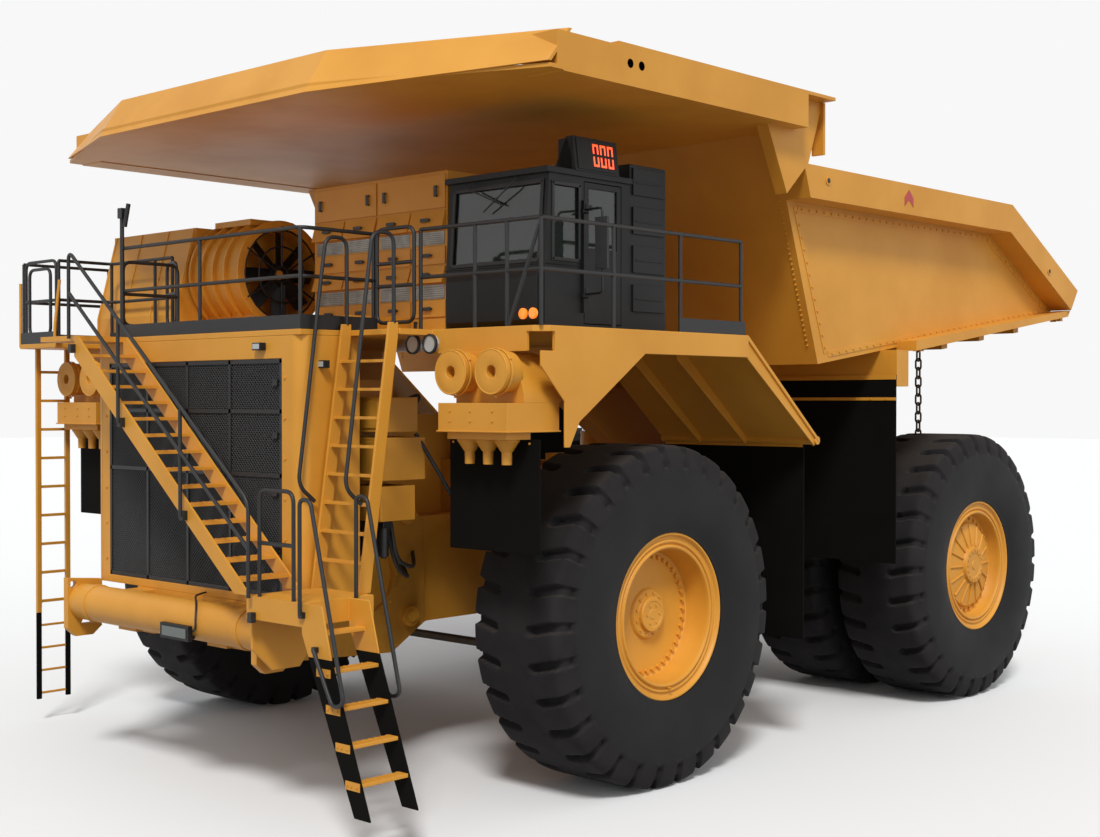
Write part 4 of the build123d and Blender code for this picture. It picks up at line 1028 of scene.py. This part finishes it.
# Red enamel, sprayed through a stencil or over a shackle: clean, and a little glossier than
# the yellow beside it.
red_enamel = surface("red_enamel", "#B5282B", "#A52326", 200, 4, 0.2, 0.4, coat=0.2)
dress("dump_body", yellow_enamel)
wall_y, floor_z, top_z = 3100, 4720, 7850
wall_lean = (2000 - wall_y) / (top_z - floor_z)
strip_wide, bolt_pitch = 75, 170


def seam(shape, start, end, s):
    """A bolted strip on a side wall between two (y, z) places."""
    start, end = Vector(start), Vector(end)
    run = end - start
    half = Vector((-run.y, run.x)).normalized() * strip_wide / 2
    plate(shape, [(s * 3900, p.x, p.y) for p in (start + half, end + half, end - half,
                                                 start - half)], (s * 9, 0, 0))
    count = int(run.length / bolt_pitch)
    for n in range(count + 1):
        spot = start + run * ((n + 0.5) / (count + 1))
        stud(shape, at(s * 3909, spot.x, spot.y), (s, 0, 0), 0.017, 0.014)


shape = bmesh.new()
for s in (1, -1):
    seam(shape, (3270, 4860), (2580, 6640), s)
    seam(shape, (2640, 6610), (7480, 6640), s)
    seam(shape, (7480, 6640), (9330, 5720), s)
    seam(shape, (3330, 4850), (9300, 5650), s)
    block(shape, s * 4130, s * 4300, 2600, 2640, 7230, 7855)
    for y, z in ((2780, 6940), (8840, 6210)):
        rod(shape, at(s * 4246, y, z), at(s * 4262, y, z), 0.055, 32)
        rod(shape, at(s * 4262, y, z), at(s * 4266, y, z), 0.032, 24, 1)
    for y in (-1200, -1020):
        stud(shape, at(s * 4448, y, 7700), (-s, 0, 0), 0.05, 0.004, 24)
    plate(shape, [(s * 3960, y, z) for y, z in ((9500, 5480), (9560, 5640), (9700, 5640),
                                                (9740, 5500), (9660, 5500), (9640, 5560))],
          (s * 100, 0, 0))
    for y in (5400, 6500, 7600, 8700):
        z = floor_z + (y - wall_y) * 0.135
        plate(shape, [(s * 1050, y, z - 190), (s * 1050, y + 160, z - 170),
                      (s * 1050, y + 160, z + 5), (s * 1050, y, z - 15)], (s * 2700, 0, 0))
    block(shape, s * 2545, s * 2665, 7810, 7930, 5020, 5290)
for z in range(4950, 7400, 62):
    for x in (-3800, 3800):
        stud(shape, at(x, wall_y + (z - floor_z) * wall_lean - 2, z), (0, -1, 0.35), 0.016, 0.012)
for x in (-2600, -1300, 0, 1300, 2600):
    plate(shape, [(x - 60, -3000 + abs(x) / 4, 7515), (x - 60, 1500, 7515), (x - 60, 1300, 7760),
                  (x - 60, -2600 + abs(x) / 4, 7640)], (120, 0, 0))
piece("body_seams_and_ribs", shape, "tipper", [yellow_enamel, hose_rubber], 0.004)

mark_y, mark_z = 4710, 6910
shape = bmesh.new()
for s in (1, -1):
    plate(shape, [(s * 4250, mark_y + dy, mark_z + dz) for dy, dz in (
        (-110, -110), (-110, 10), (0, 110), (110, 10), (110, -110), (0, -20))], (s * 5, 0, 0))
piece("red_chevrons", shape, "tipper", [red_enamel])

chain_x, chain_y, link_drop = 2605, 7870, 135
link = ((-18, 0), (18, 0), (44, 30), (44, 140), (18, 170), (-18, 170), (-44, 140), (-44, 30))
for side, s in (("left", 1), ("right", -1)):
    loops = []
    for n in range(10):
        top = 5040 - n * link_drop
        loops.append([(s * chain_x + a, chain_y, top - b) if n % 2
                      else (s * chain_x, chain_y + a, top - b) for a, b in link])
    pipes(f"knocker_chain_{side}", [], 15, "tipper", bare_casting, 26, loops)
    shape = bmesh.new()
    block(shape, s * chain_x - 22, s * chain_x + 22, 7845, 7895, 5000, 5075)
    piece(f"chain_shackle_{side}", shape, "tipper", [red_enamel], 0.008)


# ------------------------------------------------------------------ lamps
# Round headlamps have a black moulded bezel and a clear lens, let into the deck's front.
# Red lamps stand on brackets at the rear of the frame.
dress("lamps", lens_glass, 0)
shape = bmesh.new()
for x in (2560, 2820, -2560, -2820):
    lathe_y(shape, [(0, 84), (-8, 84), (-14, 92), (-8, 104), (20, 104)], at(x, -2480, 4850), 48)
piece("headlamp_bezels", shape, "chassis", [moulded_plastic])
shape = bmesh.new()
for s in (1, -1):
    block(shape, s * 760, s * 990, 8650, 8690, 3020, 3110)
    for x in (820, 930):
        rod(shape, at(s * x, 8690, 3065), at(s * x, 8704, 3065), 0.034, 24, 1)
piece("tail_lamps", shape, "chassis", [moulded_plastic, red_enamel], 0.002)
